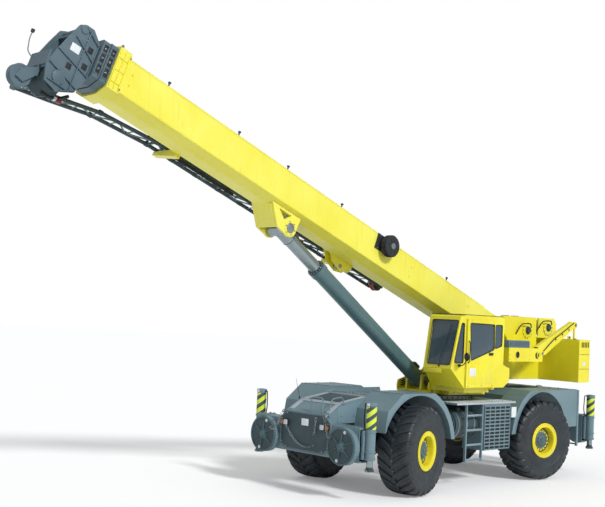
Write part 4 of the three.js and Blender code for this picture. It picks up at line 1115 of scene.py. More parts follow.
# ---------- carrier ----------
@dataclass
class OutriggerEnd:
    """What is dressed on one outrigger box, its beams and its jacks."""

    site: Site
    end: End

    @property
    def jack(self) -> float:
        """Returns: how far ahead of the slewing axis the jacks stand."""
        return 4.257 if self.end is End.FRONT else -4.155

    @property
    def face(self) -> float:
        """Returns: how far ahead the box's outer face is."""
        return self.jack + self.end.value * 0.2

    def floats(self) -> None:
        """Dresses the two stowed floats with rims, ribs and sockets."""
        shape = Shape(f"float_ribs_{self.end.key}", self.site.ground)
        out = (0, -self.end.value, 0)
        flat = Matrix.Diagonal((1, 1, 1 if self.end is End.FRONT else 0.06, 1))
        for side in Side:
            front = facing(side.value * 1.12, self.face + self.end.value * 0.1403, 1.075, out) @ flat
            lip = [(0.37, -0.02), (0.37, 0.012), (0.362, 0.02), (0.34, 0.02), (0.332, 0.012), (0.33, -0.01)]
            shape.spin(lip, front, FLOAT_GREY, 56)
            dish = 0.003 if self.end is End.FRONT else 0.012
            shape.spin([(0.331, -0.004), (0.331, dish), (0.0, dish), (0.0, -0.004)], front, DARK, 48)
            hub = [
                (0.0, 0.062), (0.05, 0.062), (0.062, 0.054), (0.07, 0.03), (0.11, 0.008), (0.11, -0.01),
                (0, -0.01),
            ]
            shape.spin(hub, front, FLOAT_GREY, 36)
            rib = [(0.09, 0.0), (0.334, 0.0), (0.334, 0.014), (0.13, 0.03), (0.09, 0.05)]
            upright = Matrix.Rotation(math.pi / 2, 4, "X")
            turns = [front @ Matrix.Rotation(math.radians(22 + i * 60), 4, "Z") for i in range(6)]
            shape.plate(rib, upright @ Matrix.Translation((0, 0, -0.007)), 0.014, FLOAT_GREY, 0.002, turns)
            spots = [front @ m for m in ring_places(2, 0.3, 0.004, 72)]
            shape.bolts(spots, PLATE_WHITE, 0.05, 0.014)
        shape.finish("carrier")

    def beams(self) -> None:
        """Dresses each jack tube with its striped sleeve, flanges and cap, and each rod with its foot."""
        for side in Side:
            key = f"{self.end.key}_{side.key}"
            x = side.value * 1.584
            up = facing(x, self.jack, 0, UPWARD)
            sleeve = Shape(f"jack_sleeve_{key}", self.site.ground)
            sleeve.spin([(0.0995, 1.452), (0.1015, 1.452), (0.1015, 1.885), (0.0995, 1.885)], up, HAZARD, 40)
            sleeve.finish(f"beam_{key}")
            trim = Shape(f"jack_fittings_{key}", self.site.ground)
            cap = [(0.0, 1.9615), (0.0, 1.975), (0.058, 1.975), (0.07, 1.968), (0.104, 1.966), (0.108, 1.96)]
            trim.spin(cap + [(0.108, 1.905), (0.1, 1.9), (0.0985, 1.9), (0.0985, 1.9615)], up, GREY, 36)
            for low in (1.392, 1.0, 0.862):
                ring = [(0.0985, low), (0.113, low), (0.113, low + 0.03), (0.0985, low + 0.03)]
                trim.spin(ring, up, GREY, 32)
            inward = -side.value
            y_out = self.end.value
            for low in (0.9, 1.4):
                block(
                    trim, (x + inward * 0.106, x + inward * 0.085), (self.jack - 0.12, self.jack + 0.12),
                    (low, low + 0.022), GREY, 0.003,
                )
            block(
                trim, (x - 0.032, x + 0.032), (self.jack + y_out * 0.1, self.jack + y_out * 0.113),
                (1.9, 1.955), PLATE_WHITE, 0.003,
            )
            hose = [
                at(x + inward * 0.1, self.jack, 1.93), at(x + inward * 0.17, self.jack, 1.94),
                at(x + inward * 0.19, self.jack, 1.6), at(x + inward * 0.16, self.jack, 1.46),
            ]
            trim.pipe(hose, 0.012, SEAL, 0.09)
            trim.finish(f"beam_{key}")
            foot = Shape(f"jack_foot_{key}", self.site.ground)
            knob = [
                (0.0, 0.626), (0.06, 0.6245), (0.088, 0.632), (0.0915, 0.645), (0.0915, 0.667), (0.07, 0.68),
            ]
            foot.spin(knob + [(0.067, 0.72), (0.0, 0.72)], up, DARK, 32)
            for y in (-1, 1):
                block(
                    foot, (x - 0.03, x + 0.03), (self.jack + y * 0.093, self.jack + y * 0.105), (0.63, 0.67),
                    STEEL,
                )
            foot.finish(f"jack_{key}")

    def box(self) -> None:
        """Adds stiffening frames, wear pads and bolts to the box's outer ends."""
        shape = Shape(f"outrigger_box_trim_{self.end.key}", self.site.ground)
        for side in Side:
            x = side.value
            for y in (-0.2, 0.186):
                block(
                    shape, (x * 1.44, x * 1.474), (self.jack + y, self.jack + y + 0.014), (0.8, 1.45), GREY,
                    0.003,
                )
            for z in (0.79, 1.4508):
                block(
                    shape, (x * 1.3, x * 1.474), (self.jack - 0.2, self.jack + 0.2), (z, z + 0.012), GREY,
                    0.003,
                )
            spots = [facing(x * a, self.jack + b, 1.463, UPWARD) for a in (1.33, 1.44) for b in (-0.15, 0.15)]
            shape.bolts(spots, STEEL, 0.034)
            inner = [
                facing(x * 1.38, self.jack - self.end.value * 0.201, z, (0, self.end.value, 0))
                for z in (0.9, 1.35)
            ]
            shape.bolts(inner, STEEL, 0.03)
        shape.finish("carrier")

    def build(self) -> None:
        """Builds all of one end's dressing."""
        self.floats()
        self.beams()
        self.box()


@dataclass
class FrontFace:
    """Panel, lamps, chains, rail and aerial on the front of the carrier."""

    site: Site
    face: float = 4.4875

    def panel(self) -> None:
        """Builds the panel's rim, bolts, plates and lamps."""
        shape = Shape("front_panel_trim", self.site.ground)
        corners = [
            (-0.71, 0.953), (-0.556, 0.848), (0.556, 0.848), (0.71, 0.953), (0.71, 1.476), (0.556, 1.612),
            (-0.556, 1.612), (-0.71, 1.476),
        ]
        inner = [(x * 0.965, 1.23 + (z - 1.23) * 0.95) for x, z in corners]
        flat = Matrix.Translation(at(0, self.face - 0.0005, 0)) @ FACE_FRONT
        shape.plate(inner, flat, 0.003, DARK, 0.001)
        for a, b in zip(corners, corners[1:] + corners[:1]):
            shape.bar(at(a[0], self.face, a[1]), at(b[0], self.face, b[1]), 0.011, BOOM_GREY, 8)
        block(shape, (-0.1, 0.1), (self.face, self.face + 0.006), (1.36, 1.5), PLATE_WHITE, 0.002)
        spots = [facing(x * 0.93, self.face + 0.002, 1.23 + (z - 1.23) * 0.9, FORWARD) for x, z in corners]
        shape.bolts(spots, STEEL, 0.026)
        for side in Side:
            s = side.value
            block(shape, (s * 0.46, s * 0.585), (self.face, self.face + 0.05), (1.32, 1.44), PLASTIC, 0.01)
            block(
                shape, (s * 0.47, s * 0.575), (self.face + 0.046, self.face + 0.058), (1.33, 1.43), LENS,
                0.006,
            )
            lamp = facing(s * 0.645, self.face, 1.375, FORWARD)
            shape.spin([(0, 0), (0.052, 0), (0.052, 0.03), (0, 0.03)], lamp, PLASTIC, 28)
            shape.spin([(0, 0.03), (0.046, 0.03), (0.042, 0.05), (0.02, 0.058), (0, 0.06)], lamp, AMBER, 28)
            eye = [
                at(s * 0.62, self.face, 1.57), at(s * 0.62, self.face + 0.07, 1.6),
                at(s * 0.62, self.face, 1.63),
            ]
            shape.pipe(eye, 0.014, STEEL, 0.04)
        shape.finish("carrier")

    def chains(self) -> None:
        """Builds the float-securing chains that hang across the panel."""
        shape = Shape("front_chains", self.site.ground)
        link = bmesh.new()
        verts = []
        for k in range(16):
            turn = math.tau * k / 16
            stretch = 0.022 * (1 if math.cos(turn) > 0 else -1)
            verts.append((math.cos(turn) * 0.017 + stretch, math.sin(turn) * 0.019))
        rings = []
        for k, (u, v) in enumerate(verts):
            turn = math.tau * k / 16
            out = Vector((math.cos(turn), math.sin(turn), 0))
            rings.append([
                Vector((u, v, 0)) + (out * math.cos(a) + Vector((0, 0, math.sin(a)))) * 0.0055
                for a in (0, math.pi / 2, math.pi, 1.5 * math.pi)
            ])
        rows = [[link.verts.new(p) for p in ring] for ring in rings]
        for i, row in enumerate(rows):
            following = rows[(i + 1) % len(rows)]
            for k in range(4):
                link.faces.new((row[k], row[(k + 1) % 4], following[(k + 1) % 4], following[k]))
        bmesh.ops.recalc_face_normals(link, faces=link.faces)
        places = []
        hangs = [
            (at(0.62, 4.565, 1.6), at(0.86, 4.63, 1.24), 0.16),
            (at(-0.62, 4.565, 1.6), at(-0.86, 4.63, 1.24), 0.16),
            (at(0.34, 4.52, 1.55), at(0.3, 4.515, 1.2), 0.02),
            (at(-0.5, 4.52, 1.3), at(0.34, 4.52, 1.02), 0.2),
        ]
        for start, stop, sag in hangs:
            span = (stop - start).length + sag * 0.8
            count = max(4, int(span / 0.066))
            points = [
                start.lerp(stop, i / count) - Vector((0, 0, 4 * sag * (i / count) * (1 - i / count)))
                for i in range(count + 1)
            ]
            for i, (a, b) in enumerate(zip(points, points[1:])):
                along = (b - a).to_track_quat("X", "Z").to_matrix().to_4x4()
                roll = Matrix.Rotation(math.radians(90 * (i % 2) + 20), 4, "X")
                places.append(Matrix.Translation((a + b) / 2) @ along @ roll)
        shape.take(link, STEEL, places)
        for x in (0.34, -0.5):
            shape.bar(
                at(x, self.face, 1.55 if x > 0 else 1.3), at(x, self.face + 0.05, 1.55 if x > 0 else 1.3),
                0.016, STEEL, 14,
            )
        shape.finish("carrier")

    def rail(self) -> None:
        """Builds the grab rail, the step and the aerial."""
        shape = Shape("front_rail", self.site.ground)
        shape.pipe(
            [at(0.07, 4.4, 1.62), at(0.07, 4.4, 1.95), at(0.4, 4.4, 1.95), at(0.4, 4.4, 1.62)], 0.015, GREY,
        )
        for x in (0.07, 0.4):
            block(shape, (x - 0.04, x + 0.04), (4.375, 4.425), (1.6205, 1.634), GREY, 0.003)
        shape.bar(at(-0.78, 3.9, 1.86), at(-0.86, 3.96, 2.26), 0.006, PLASTIC, 8, tip=0.003)
        shape.bar(at(-0.776, 3.897, 1.79), at(-0.781, 3.901, 1.87), 0.018, PLASTIC, 14)
        shape.pipe(
            [at(0.56, 3.95, 1.84), at(0.56, 4.02, 1.98), at(0.56, 4.32, 1.94), at(0.56, 4.38, 1.7)], 0.014,
            GREY,
        )
        shape.finish("carrier")

    def walls(self) -> None:
        """Closes the sides of the walkway between the fenders."""
        shape = Shape("walkway_walls", self.site.ground)
        slope = [(3.99, 1.8615), (3.33, 1.9635), (3.33, 1.9695), (3.99, 1.8675)]
        lip = [(4.38, 1.6545), (4.1, 1.815), (4.103, 1.821), (4.383, 1.6605)]
        shape.plate(slope, side_plate(-0.42), 0.84, DARK, 0.001)
        for left in (-0.58, 0.46):
            shape.plate(slope, side_plate(left), 0.12, TREAD_PLATE, 0.001)
            shape.plate(lip, side_plate(left), 0.12, TREAD_PLATE, 0.001)
        shape.plate(
            [(4.1, 1.821), (4.02, 1.858), (4.021, 1.864), (4.102, 1.827)], side_plate(-0.58), 1.16,
            TREAD_PLATE, 0.001,
        )
        low = [(3.3, 1.4515), (4.2, 1.4515), (4.2, 1.74), (4.05, 1.815), (3.82, 1.85), (3.3, 1.92)]
        arch = [(1.4, 1.83), (3.4, 1.83), (3.4, 1.93), (3.12, 2.06), (1.5, 2.06)]
        for s in (1, -1):
            side = side_plate(s * 0.6185 if s > 0 else -0.6095)
            for outline in (low, arch):
                shape.plate(outline, side, 0.009, GREY, 0.002)
            shape.bolts([facing(s * 0.619, ahead, 1.6, (s, 0, 0)) for ahead in (3.72, 4.1)], STEEL, 0.026)
        shape.finish("carrier")

    def build(self) -> None:
        """Builds the front."""
        self.panel()
        self.chains()
        self.rail()
        self.walls()


@dataclass
class Decks:
    """Tread plates, fender lips, grille, tank straps, ladders and covers on the carrier."""

    site: Site
    axle_up: float = 0.935
    axles: Point = (2.62, -2.083)
    top: float = 2.1003
    rear_face: float = -3.7033

    def fender_lips(self) -> None:
        """Builds the turned lips round the four arches and the seams on the fenders."""
        shape = Shape("fender_lips", self.site.ground)
        for centre, low, high in ((self.axles[0], 21, 171), (self.axles[1], 9, 166)):
            angles = [math.radians(low + (high - low) * i / 32) for i in range(33)]
            outer = [(centre + 1.158 * math.cos(a), self.axle_up + 1.158 * math.sin(a)) for a in angles]
            inner = [
                (centre + 1.131 * math.cos(a), self.axle_up + 1.131 * math.sin(a)) for a in reversed(angles)
            ]
            shape.plate(outer + inner, side_plate(1.4695), 0.01, GREY, 0.002, (HERE, mirrored()))
        for side in Side:
            s = side.value
            for start, ahead in ((0.63, self.axles[0] + 0.55), (0.63, 2.2), (0.91, -3.0), (0.91, -3.66)):
                seam = (ahead - 0.004, ahead + 0.004)
                block(shape, (s * start, s * 1.465), seam, (2.098, 2.1035), DARK, 0.001)
            spots = [facing(s * x, a, 2.1, UPWARD) for x in (0.7, 1.4) for a in (2.3, 2.7, 3.1)]
            spots += [facing(s * x, a, 2.1, UPWARD) for x in (0.96, 1.42) for a in (-2.9, -3.3, -3.62)]
            shape.bolts(spots, GREY, 0.026, 0.01)
        shape.finish("carrier")

    def plates(self) -> None:
        """Builds tread plates on the front walkway and the mid deck, with their edge strips."""
        shape = Shape("deck_plates", self.site.ground)
        start, base = 1.33, 1.93
        slope = (1.99 - base) / (3.15 - start)
        low, high = (base + (ahead - start) * slope for ahead in (1.36, 3.13))
        skin = [(1.36, low), (3.13, high), (3.13, high + 0.004), (1.36, low + 0.004)]
        shape.plate(skin, side_plate(-0.58), 1.16, DARK, 0.001)
        tread_marks(shape, (-0.57, 0.58), (1.38, 3.12), base + (1.38 - start) * slope + 0.006, GREY, slope)
        for side in Side:
            s = side.value
            block(shape, (s * 1.0, s * 1.466), (-0.92, 1.31), (1.8702, 1.8745), TREAD_PLATE, 0.001)
            tread_marks(shape, tuple(sorted((s * 1.02, s * 1.45))), (-0.9, 1.3), 1.8765, TREAD_PLATE)
            block(shape, (s * 1.4703, s * 1.4755), (-0.93, 1.33), (1.8304, 1.872), TREAD_PLATE, 0.0015)
            spots = [facing(s * 1.44, -0.85 + i * 0.42, 1.8745, UPWARD) for i in range(6)]
            shape.bolts(spots, STEEL, 0.022, 0.008)
        shape.finish("carrier")

    def grille(self) -> None:
        """Builds the slotted grille in front of the left box, with its dark backing, frame, bolts and a white
        plate.
        """
        shape = Shape("side_grille", self.site.ground)
        rows, columns = 12, 5
        part = bmesh.new()
        bmesh.ops.create_grid(part, x_segments=columns, y_segments=rows, size=0.5)
        bmesh.ops.scale(part, vec=(0.98, 0.96, 1), verts=part.verts)
        faces = list(part.faces)
        bmesh.ops.inset_individual(part, faces=faces, thickness=0.021, depth=0)
        bmesh.ops.delete(part, geom=[f for f in faces if f.is_valid], context="FACES")
        bmesh.ops.solidify(part, geom=list(part.faces), thickness=0.008)
        bmesh.ops.recalc_face_normals(part, faces=part.faces)
        place = Matrix.Translation(at(1.482, -0.21, 1.3)) @ SIDE_PLANE
        shape.take(part, GREY, [place])
        block(shape, (1.461, 1.467), (-0.7, 0.28), (0.82, 1.78), SEAL, 0.002)
        for ahead in (-0.715, 0.275):
            block(shape, (1.461, 1.488), (ahead, ahead + 0.02), (0.81, 1.79), GREY, 0.003)
        for z in (0.81, 1.775):
            block(shape, (1.461, 1.488), (-0.715, 0.295), (z, z + 0.02), GREY, 0.003)
        spots = [facing(1.488, a, z, OUT_LEFT) for a in (-0.705, 0.285) for z in (0.9, 1.3, 1.7)]
        shape.bolts(spots, STEEL, 0.018, 0.008)
        block(shape, (1.461, 1.4685), (-0.98, -0.78), (1.5, 1.74), PLATE_WHITE, 0.002)
        shape.finish("carrier")

    def tanks(self) -> None:
        """Builds straps, fillers and hoses on the two tanks."""
        shape = Shape("tank_fittings", self.site.ground)
        for ahead in (0.52, 0.8, 1.08):
            place = facing(1.05, ahead, 1.38, FORWARD)
            shape.spin(
                [(0.3202, -0.025), (0.3262, -0.025), (0.3262, 0.025), (0.3202, 0.025)], place, STEEL, 56,
            )
        for ahead in (0.4, 1.2):
            place = facing(1.05, ahead, 1.38, FORWARD if ahead > 1 else BACKWARD)
            shape.spin([(0, 0.0005), (0.29, 0.0005), (0.27, 0.018), (0, 0.022)], place, DARK, 48)
        cap = facing(1.2, 0.95, 1.66, UPWARD)
        shape.spin(
            [(0, 0), (0.05, 0), (0.05, 0.05), (0.062, 0.052), (0.06, 0.085), (0, 0.09)], cap, PLASTIC, 28,
        )
        block(shape, (-1.41, -1.4005), (-0.5, -0.3), (1.1, 1.6), PLATE_WHITE, 0.002)
        for ahead in (-0.6, 0.1, 0.8):
            block(shape, (-1.412, -0.81), (ahead, ahead + 0.05), (0.892, 1.788), STEEL, 0.003)
        shape.pipe(
            [at(-1.1, -0.4, 1.79), at(-1.1, -0.4, 1.82), at(-0.7, -0.4, 1.82), at(-0.55, -0.4, 1.7)], 0.02,
            SEAL, 0.05,
        )
        shape.finish("carrier")

    def ladders(self) -> None:
        """Builds grips on the rungs, brackets and handholds."""
        shape = Shape("ladder_fittings", self.site.ground)
        for side in Side:
            s = side.value
            for z in (0.61, 0.93, 1.25, 1.57):
                block(shape, (s * 1.472, s * 1.43), (0.37, 0.93), (z + 0.0285, z + 0.034), TREAD_PLATE, 0.001)
                teeth = [Matrix.Translation(at(s * 1.45, 0.4 + i * 0.04, z + 0.038)) for i in range(13)]
                part = bmesh.new()
                bmesh.ops.create_cone(
                    part, cap_ends=True, segments=8, radius1=0.011, radius2=0.008, depth=0.008,
                )
                shape.take(part, TREAD_PLATE, teeth)
            for ahead in (0.35, 0.95):
                spots = [facing(s * 1.4705, ahead, z, (s, 0, 0)) for z in (1.7, 1.78)]
                shape.bolts(spots, STEEL, 0.02, 0.01)
            for z in (0.73, 1.06, 1.39, 1.72):
                spots = [facing(s * x, -3.715, z + 0.014, BACKWARD) for x in (1.17, 1.46)]
                shape.bolts(spots, STEEL, 0.016, 0.008)
                block(
                    shape, (s * 1.19, s * 1.44), (-3.76, -3.72), (z + 0.0285, z + 0.033), TREAD_PLATE, 0.001,
                )
        shape.finish("carrier")

    def hood(self) -> None:
        """Builds louvres, latches, handles, the silencer and the tail lamps round the engine cover."""
        shape = Shape("hood_fittings", self.site.ground)
        slat = bmesh.new()
        bmesh.ops.create_cube(slat, size=1, matrix=Matrix.LocRotScale(None, None, (0.5, 0.028, 0.008)))
        Shape.soften(slat, 0.003)
        tilt = Matrix.Rotation(math.radians(-22), 4, "X")
        spots = [
            Matrix.Translation(at(x, -2.2 - i * 0.055, 2.106)) @ tilt
            for x in (-0.45, 0.45) for i in range(16)
        ]
        shape.take(slat, DARK, spots)
        for x in (-0.45, 0.45):
            block(shape, (x - 0.29, x + 0.29), (-3.08, -2.15), (self.top, 2.1035), SEAL, 0.001)
        for x in (-0.6, 0.6):
            shape.pipe(
                [
                    at(x - 0.07, -3.3, 2.1), at(x - 0.07, -3.3, 2.14), at(x + 0.07, -3.3, 2.14),
                    at(x + 0.07, -3.3, 2.1),
                ],
                0.009, STEEL, 0.02,
            )
            for ahead in (-2.0, -3.2):
                block(
                    shape, (x - 0.05, x + 0.05), (ahead - 0.012, ahead + 0.012), (self.top, 2.116), STEEL,
                    0.003,
                )
        for side in Side:
            s = side.value
            for k, finish in enumerate((TAIL_RED, AMBER, LENS)):
                low = 1.98 - k * 0.09
                block(shape, (s * 1.0, s * 1.12), (-3.725, -3.7035), (low, low + 0.08), finish, 0.006)
            block(shape, (s * 0.98, s * 1.135), (-3.709, self.rear_face), (1.78, 2.075), PLASTIC, 0.004)
        block(shape, (-0.16, 0.16), (-3.715, self.rear_face), (1.9, 2.03), PLATE_WHITE, 0.002)
        rear = facing(0, -4.3555, 1.1, BACKWARD)
        shape.spin([(0, 0), (0.16, 0), (0.16, 0.025), (0.06, 0.03), (0.06, 0.11), (0, 0.11)], rear, DARK, 32)
        shape.pipe(
            [at(-0.09, -4.36, 1.1), at(-0.09, -4.46, 1.1), at(0.09, -4.46, 1.1), at(0.09, -4.36, 1.1)], 0.022,
            STEEL, 0.08,
        )
        shape.finish("carrier")

    def underside(self) -> None:
        """Builds axle covers, drive shafts and cross members under the frame."""
        shape = Shape("driveline", self.site.ground)
        for ahead in (2.631, -2.094):
            for out, normal in ((0.19, FORWARD), (-0.19, BACKWARD)):
                place = facing(0, ahead + out, self.axle_up, normal)
                shape.spin(
                    [(0, 0.0005), (0.28, 0.0005), (0.25, 0.04), (0.12, 0.075), (0, 0.085)], place, IRON, 40,
                )
                shape.bolts([place @ m for m in ring_places(12, 0.262, 0.012)], STEEL, 0.026, 0.014)
            for s in (-1, 1):
                place = facing(s * 0.55, ahead, self.axle_up, (s, 0, 0))
                shape.spin([(0.1502, -0.05), (0.175, -0.03), (0.175, 0.03), (0.1502, 0.05)], place, IRON, 32)
        for start, stop in ((2.36, 1.12), (-1.82, -0.82)):
            shape.bar(at(0, start, 0.98), at(0, stop, 1.05), 0.05, STEEL, 24)
            for end in (start, stop):
                shape.bar(at(0, end - 0.05, 1.0), at(0, end + 0.05, 1.0), 0.085, IRON, 24, 0.01)
        block(shape, (-0.3, 0.3), (-0.7, 1.0), (0.93, 0.9495), IRON, 0.004)
        for ahead in (3.6, 1.5, -1.2, -3.7):
            block(shape, (-0.46, 0.46), (ahead, ahead + 0.06), (1.286, 1.2997), DARK, 0.003)
        shape.finish("carrier")

    def build(self) -> None:
        """Builds all of the carrier's dressing."""
        self.fender_lips()
        self.plates()
        self.grille()
        self.tanks()
        self.ladders()
        self.hood()
        self.underside()


# ---------- turret ----------
@dataclass
class Turret:
    """Details on the turret's frame, boxes, counterweight and hoists."""

    site: Site
    plate_face: float = 0.4705
    box_face: float = 1.3503
    box_top: float = 3.1003
    weight_side: float = 1.6203
    weight_back: float = -4.0885
    pivot: Point = (-1.078, 3.249)
    drums: Sequence[tuple[str, float, float, int]] = (("main", -2.53, 3.52, 3), ("aux", -3.475, 3.615, 2))

    def frame_trim(self) -> None:
        """Builds pin keepers, hoses, plate edges and vents on the frame and its side boxes."""
        shape = Shape("turret_fittings", self.site.ground)
        for side in Side:
            s = side.value
            normal = (s, 0, 0)
            pivot = facing(s * self.plate_face, *self.pivot, normal)
            shape.spin([(0.142, 0), (0.2, 0), (0.2, 0.016), (0.19, 0.02), (0.142, 0.02)], pivot, YELLOW, 48)
            shape.bolts([pivot @ m for m in ring_places(8, 0.172, 0.0205)], STEEL, 0.026, 0.012)
            for ahead, up in ((-0.2, 2.66), (-2.6, 2.6), (0.75, 2.2)):
                shape.bolts(
                    [facing(s * self.plate_face, ahead + d, up, normal) for d in (-0.1, 0.1)], YELLOW, 0.03,
                    0.01,
                )
            block(shape, (s * 0.4702, s * 0.484), (-0.86, -0.9), (2.3, 3.3), YELLOW, 0.004)
            start = -0.78 if side is Side.LEFT else -1.74
            back = -1.66 if side is Side.LEFT else -2.16
            block(shape, (s * 1.08, s * 1.335), (back, start), (self.box_top, 3.275), GREY, 0.008)
            block(shape, (s * 1.3353, s * 1.337), (back + 0.03, start - 0.03), (3.125, 3.255), SEAL, 0.0005)
            slat = bmesh.new()
            size = (0.007, start - back - 0.07, 0.011)
            bmesh.ops.create_cube(slat, size=1, matrix=Matrix.LocRotScale(None, None, size))
            tilt = Matrix.Rotation(math.radians(20 * s), 4, "Y")
            places = [at(s * 1.341, (start + back) / 2, 3.136 + i * 0.0215) for i in range(6)]
            shape.take(slat, GREY, [Matrix.Translation(spot) @ tilt for spot in places])
            port = facing(s * self.box_face, start - 0.34, 2.94, normal)
            shape.spin([(0.078, 0), (0.096, 0), (0.096, 0.008), (0.078, 0.008)], port, YELLOW, 40)
            shape.spin([(0, 0.0002), (0.079, 0.0002), (0.079, 0.003), (0, 0.003)], port, SEAL, 40)
            for ahead in (start - 0.02, back + 0.02):
                spots = [facing(s * 1.3562, ahead, z, normal) for z in (2.83, 2.94, 3.05)]
                shape.bolts(spots, YELLOW, 0.018, 0.008)
            block(shape, (s * 1.3, s * 1.352), (-1.9, -2.0), (self.box_top, 3.128), PLASTIC, 0.004)
            tail = Matrix.Translation(at(s * 1.352, -1.96, 2.93))
            shape.take(self._disc(0.075, 0.012), SEAL, [tail @ AXIS_X])
        hole = facing(1.3505, -2.02, 2.94, OUT_LEFT)
        shape.spin([(0.062, 0), (0.085, 0), (0.085, 0.018), (0.07, 0.022), (0.062, 0.018)], hole, YELLOW, 36)
        for low, high in ((-1.45, -1.75), (-1.85, -2.15)):
            for s in (1, -1):
                block(shape, (s * 0.642, s * 0.674), (high, low), (3.8502, 3.862), SEAL, 0.003)
        shape.finish("turret")

    @staticmethod
    def _disc(radius: float, thick: float) -> Part:
        """Makes a round plate.

        Args:
            radius: its radius.
            thick: its thickness.

        Returns:
            The part.
        """
        part = bmesh.new()
        bmesh.ops.create_cone(part, cap_ends=True, segments=36, radius1=radius, radius2=radius, depth=thick)
        Shape.soften(part, 0.002, angle=50)
        return part

    def foot(self) -> None:
        """Builds the hoses and keepers at the lift cylinder's foot and the slewing drive."""
        shape = Shape("foot_fittings", self.site.ground)
        for side in Side:
            s = side.value
            place = facing(s * 0.2585, 0.85, 2.27, (s, 0, 0))
            shape.spin([(0.121, 0), (0.15, 0), (0.15, 0.012), (0.121, 0.014)], place, STEEL, 36)
            shape.bolts([place @ m for m in ring_places(4, 0.136, 0.014, 45)], STEEL, 0.022, 0.01)
            for k in range(3):
                z = 2.12 + k * 0.05
                path = [
                    at(s * 0.39, 0.98, z), at(s * 0.36, 0.7 - k * 0.05, z + 0.06),
                    at(s * 0.37, 0.35, z + 0.03), at(s * 0.36, 0.02, z - 0.02),
                ]
                shape.pipe(path, 0.014, SEAL, 0.12)
            block(shape, (s * 0.3, s * 0.428), (-0.1, 0.12), (2.0563, 2.2), DARK, 0.01)
            for ahead in (0.86, 0.9, 0.94):
                shape.bar(at(s * 0.472, ahead, 2.14), at(s * 0.49, ahead, 2.14), 0.014, STEEL, 12, 0.002)
        motor = Matrix.Translation(at(0.0, -0.35, 2.0565))
        shape.spin([(0, 0), (0.15, 0), (0.15, 0.16), (0.11, 0.19), (0.11, 0.3), (0.0, 0.31)], motor, IRON, 32)
        shape.bolts([motor @ m for m in ring_places(8, 0.13, 0.16)], STEEL, 0.02, 0.01)
        shape.finish("turret")

    def ring(self) -> None:
        """Builds the slewing ring's bolts and seal on the carrier."""
        shape = Shape("slewing_ring", self.site.ground)
        shape.spin([(0.7215, 1.872), (0.735, 1.872), (0.735, 1.93), (0.7215, 1.935)], HERE, STEEL, 96)
        outward = [
            Matrix.Rotation(math.radians(i * 10), 4, "Z") @ Matrix.Translation((0.735, 0, 1.9)) @ AXIS_X
            for i in range(36)
        ]
        shape.bolts(outward, IRON, 0.026, 0.012)
        shape.finish("carrier")

    def counterweight(self) -> None:
        """Builds vents, lifting lugs, seams and bumpers on the counterweight."""
        shape = Shape("counterweight_fittings", self.site.ground)
        for side in Side:
            s = side.value
            for k in range(5):
                block(
                    shape, (s * self.weight_side, s * 1.625), (-3.9 + k * 0.075, -3.86 + k * 0.075),
                    (3.16, 3.29), SEAL, 0.003,
                )
            for z in (2.62, 2.98):
                block(shape, (s * self.weight_side, s * 1.6245), (-3.95, -3.46), (z, z + 0.008), SEAL, 0.001)
            block(shape, (s * self.weight_side, s * 1.624), (-3.76, -3.62), (2.7, 2.79), PLATE_WHITE, 0.002)
            block(shape, (s * 1.12, s * 1.15), (-3.84, -3.7), (3.3513, 3.43), YELLOW, 0.012)
            shape.bar(at(s * 1.1, -3.77, 3.39), at(s * 1.17, -3.77, 3.39), 0.02, STEEL, 16)
            shape.bar(at(s * 1.4, -3.6, 3.3512), at(s * 1.4, -3.6, 3.38), 0.04, STEEL, 20, 0.004)
            block(shape, (s * 0.9, s * 1.35), (-4.0965, self.weight_back), (2.42, 2.56), TAIL_RED, 0.003)
        for z in (2.62, 2.98):
            block(shape, (-1.45, 1.45), (-4.093, self.weight_back), (z, z + 0.008), SEAL, 0.001)
        shape.bolts(
            [facing(x, self.weight_back, 3.2, BACKWARD) for x in (-1.2, -0.4, 0.4, 1.2)], STEEL, 0.05, 0.03,
        )
        shape.finish("turret")

    def hoists(self) -> None:
        """Builds the wound rope on both drums, and the motors and bearings outside their plates."""
        for name, back, up, turns in self.drums:
            rope = Shape(f"wound_rope_{name}", self.site.ground)
            place = Matrix.Translation(at(0, back, up)) @ AXIS_X
            pitch = 0.022
            radius = 0.1605 + turns * 0.013
            profile = [(0.1603, -0.533)]
            count = int(1.066 / pitch)
            for i in range(count):
                low = -0.533 + i * pitch
                profile += [
                    (radius - 0.006, low + 0.001), (radius, low + pitch * 0.3),
                    (radius, low + pitch * 0.7), (radius - 0.006, low + pitch * 0.98),
                ]
            profile.append((0.1603, 0.533))
            rope.spin(profile, place, ROPE, 48)
            for s in (-1, 1):
                spots = [place @ m for m in ring_places(10, 0.2, s * 0.566)]
                flip = Matrix.Rotation(math.pi, 4, "X") if s < 0 else HERE
                rope.bolts([m @ flip for m in spots], STEEL, 0.02, 0.008)
            rope.finish(f"{name}_hoist")
            shape = Shape(f"hoist_motor_{name}", self.site.ground)
            for side in Side:
                s = side.value
                out = facing(s * 0.6765, back, up, (s, 0, 0))
                shape.spin([(0, 0), (0.2, 0), (0.2, 0.02), (0.17, 0.026), (0.0, 0.03)], out, YELLOW, 44)
                shape.bolts([out @ m for m in ring_places(12, 0.182, 0.021)], STEEL, 0.022, 0.012)
                depth = 0.08
                shape.spin(
                    [
                        (0, 0.03), (0.1, 0.03), (0.1, depth * 0.6), (0.075, depth * 0.65), (0.07, depth),
                        (0, depth),
                    ],
                    out, DARK, 32,
                )
            shape.pipe(
                [
                    at(0.8, back, up + 0.07), at(0.82, back + 0.05, up + 0.17),
                    at(0.75, back + 0.35, up + 0.16), at(0.69, back + 0.5, up - 0.1),
                ],
                0.014, SEAL, 0.1,
            )
            shape.finish("turret")

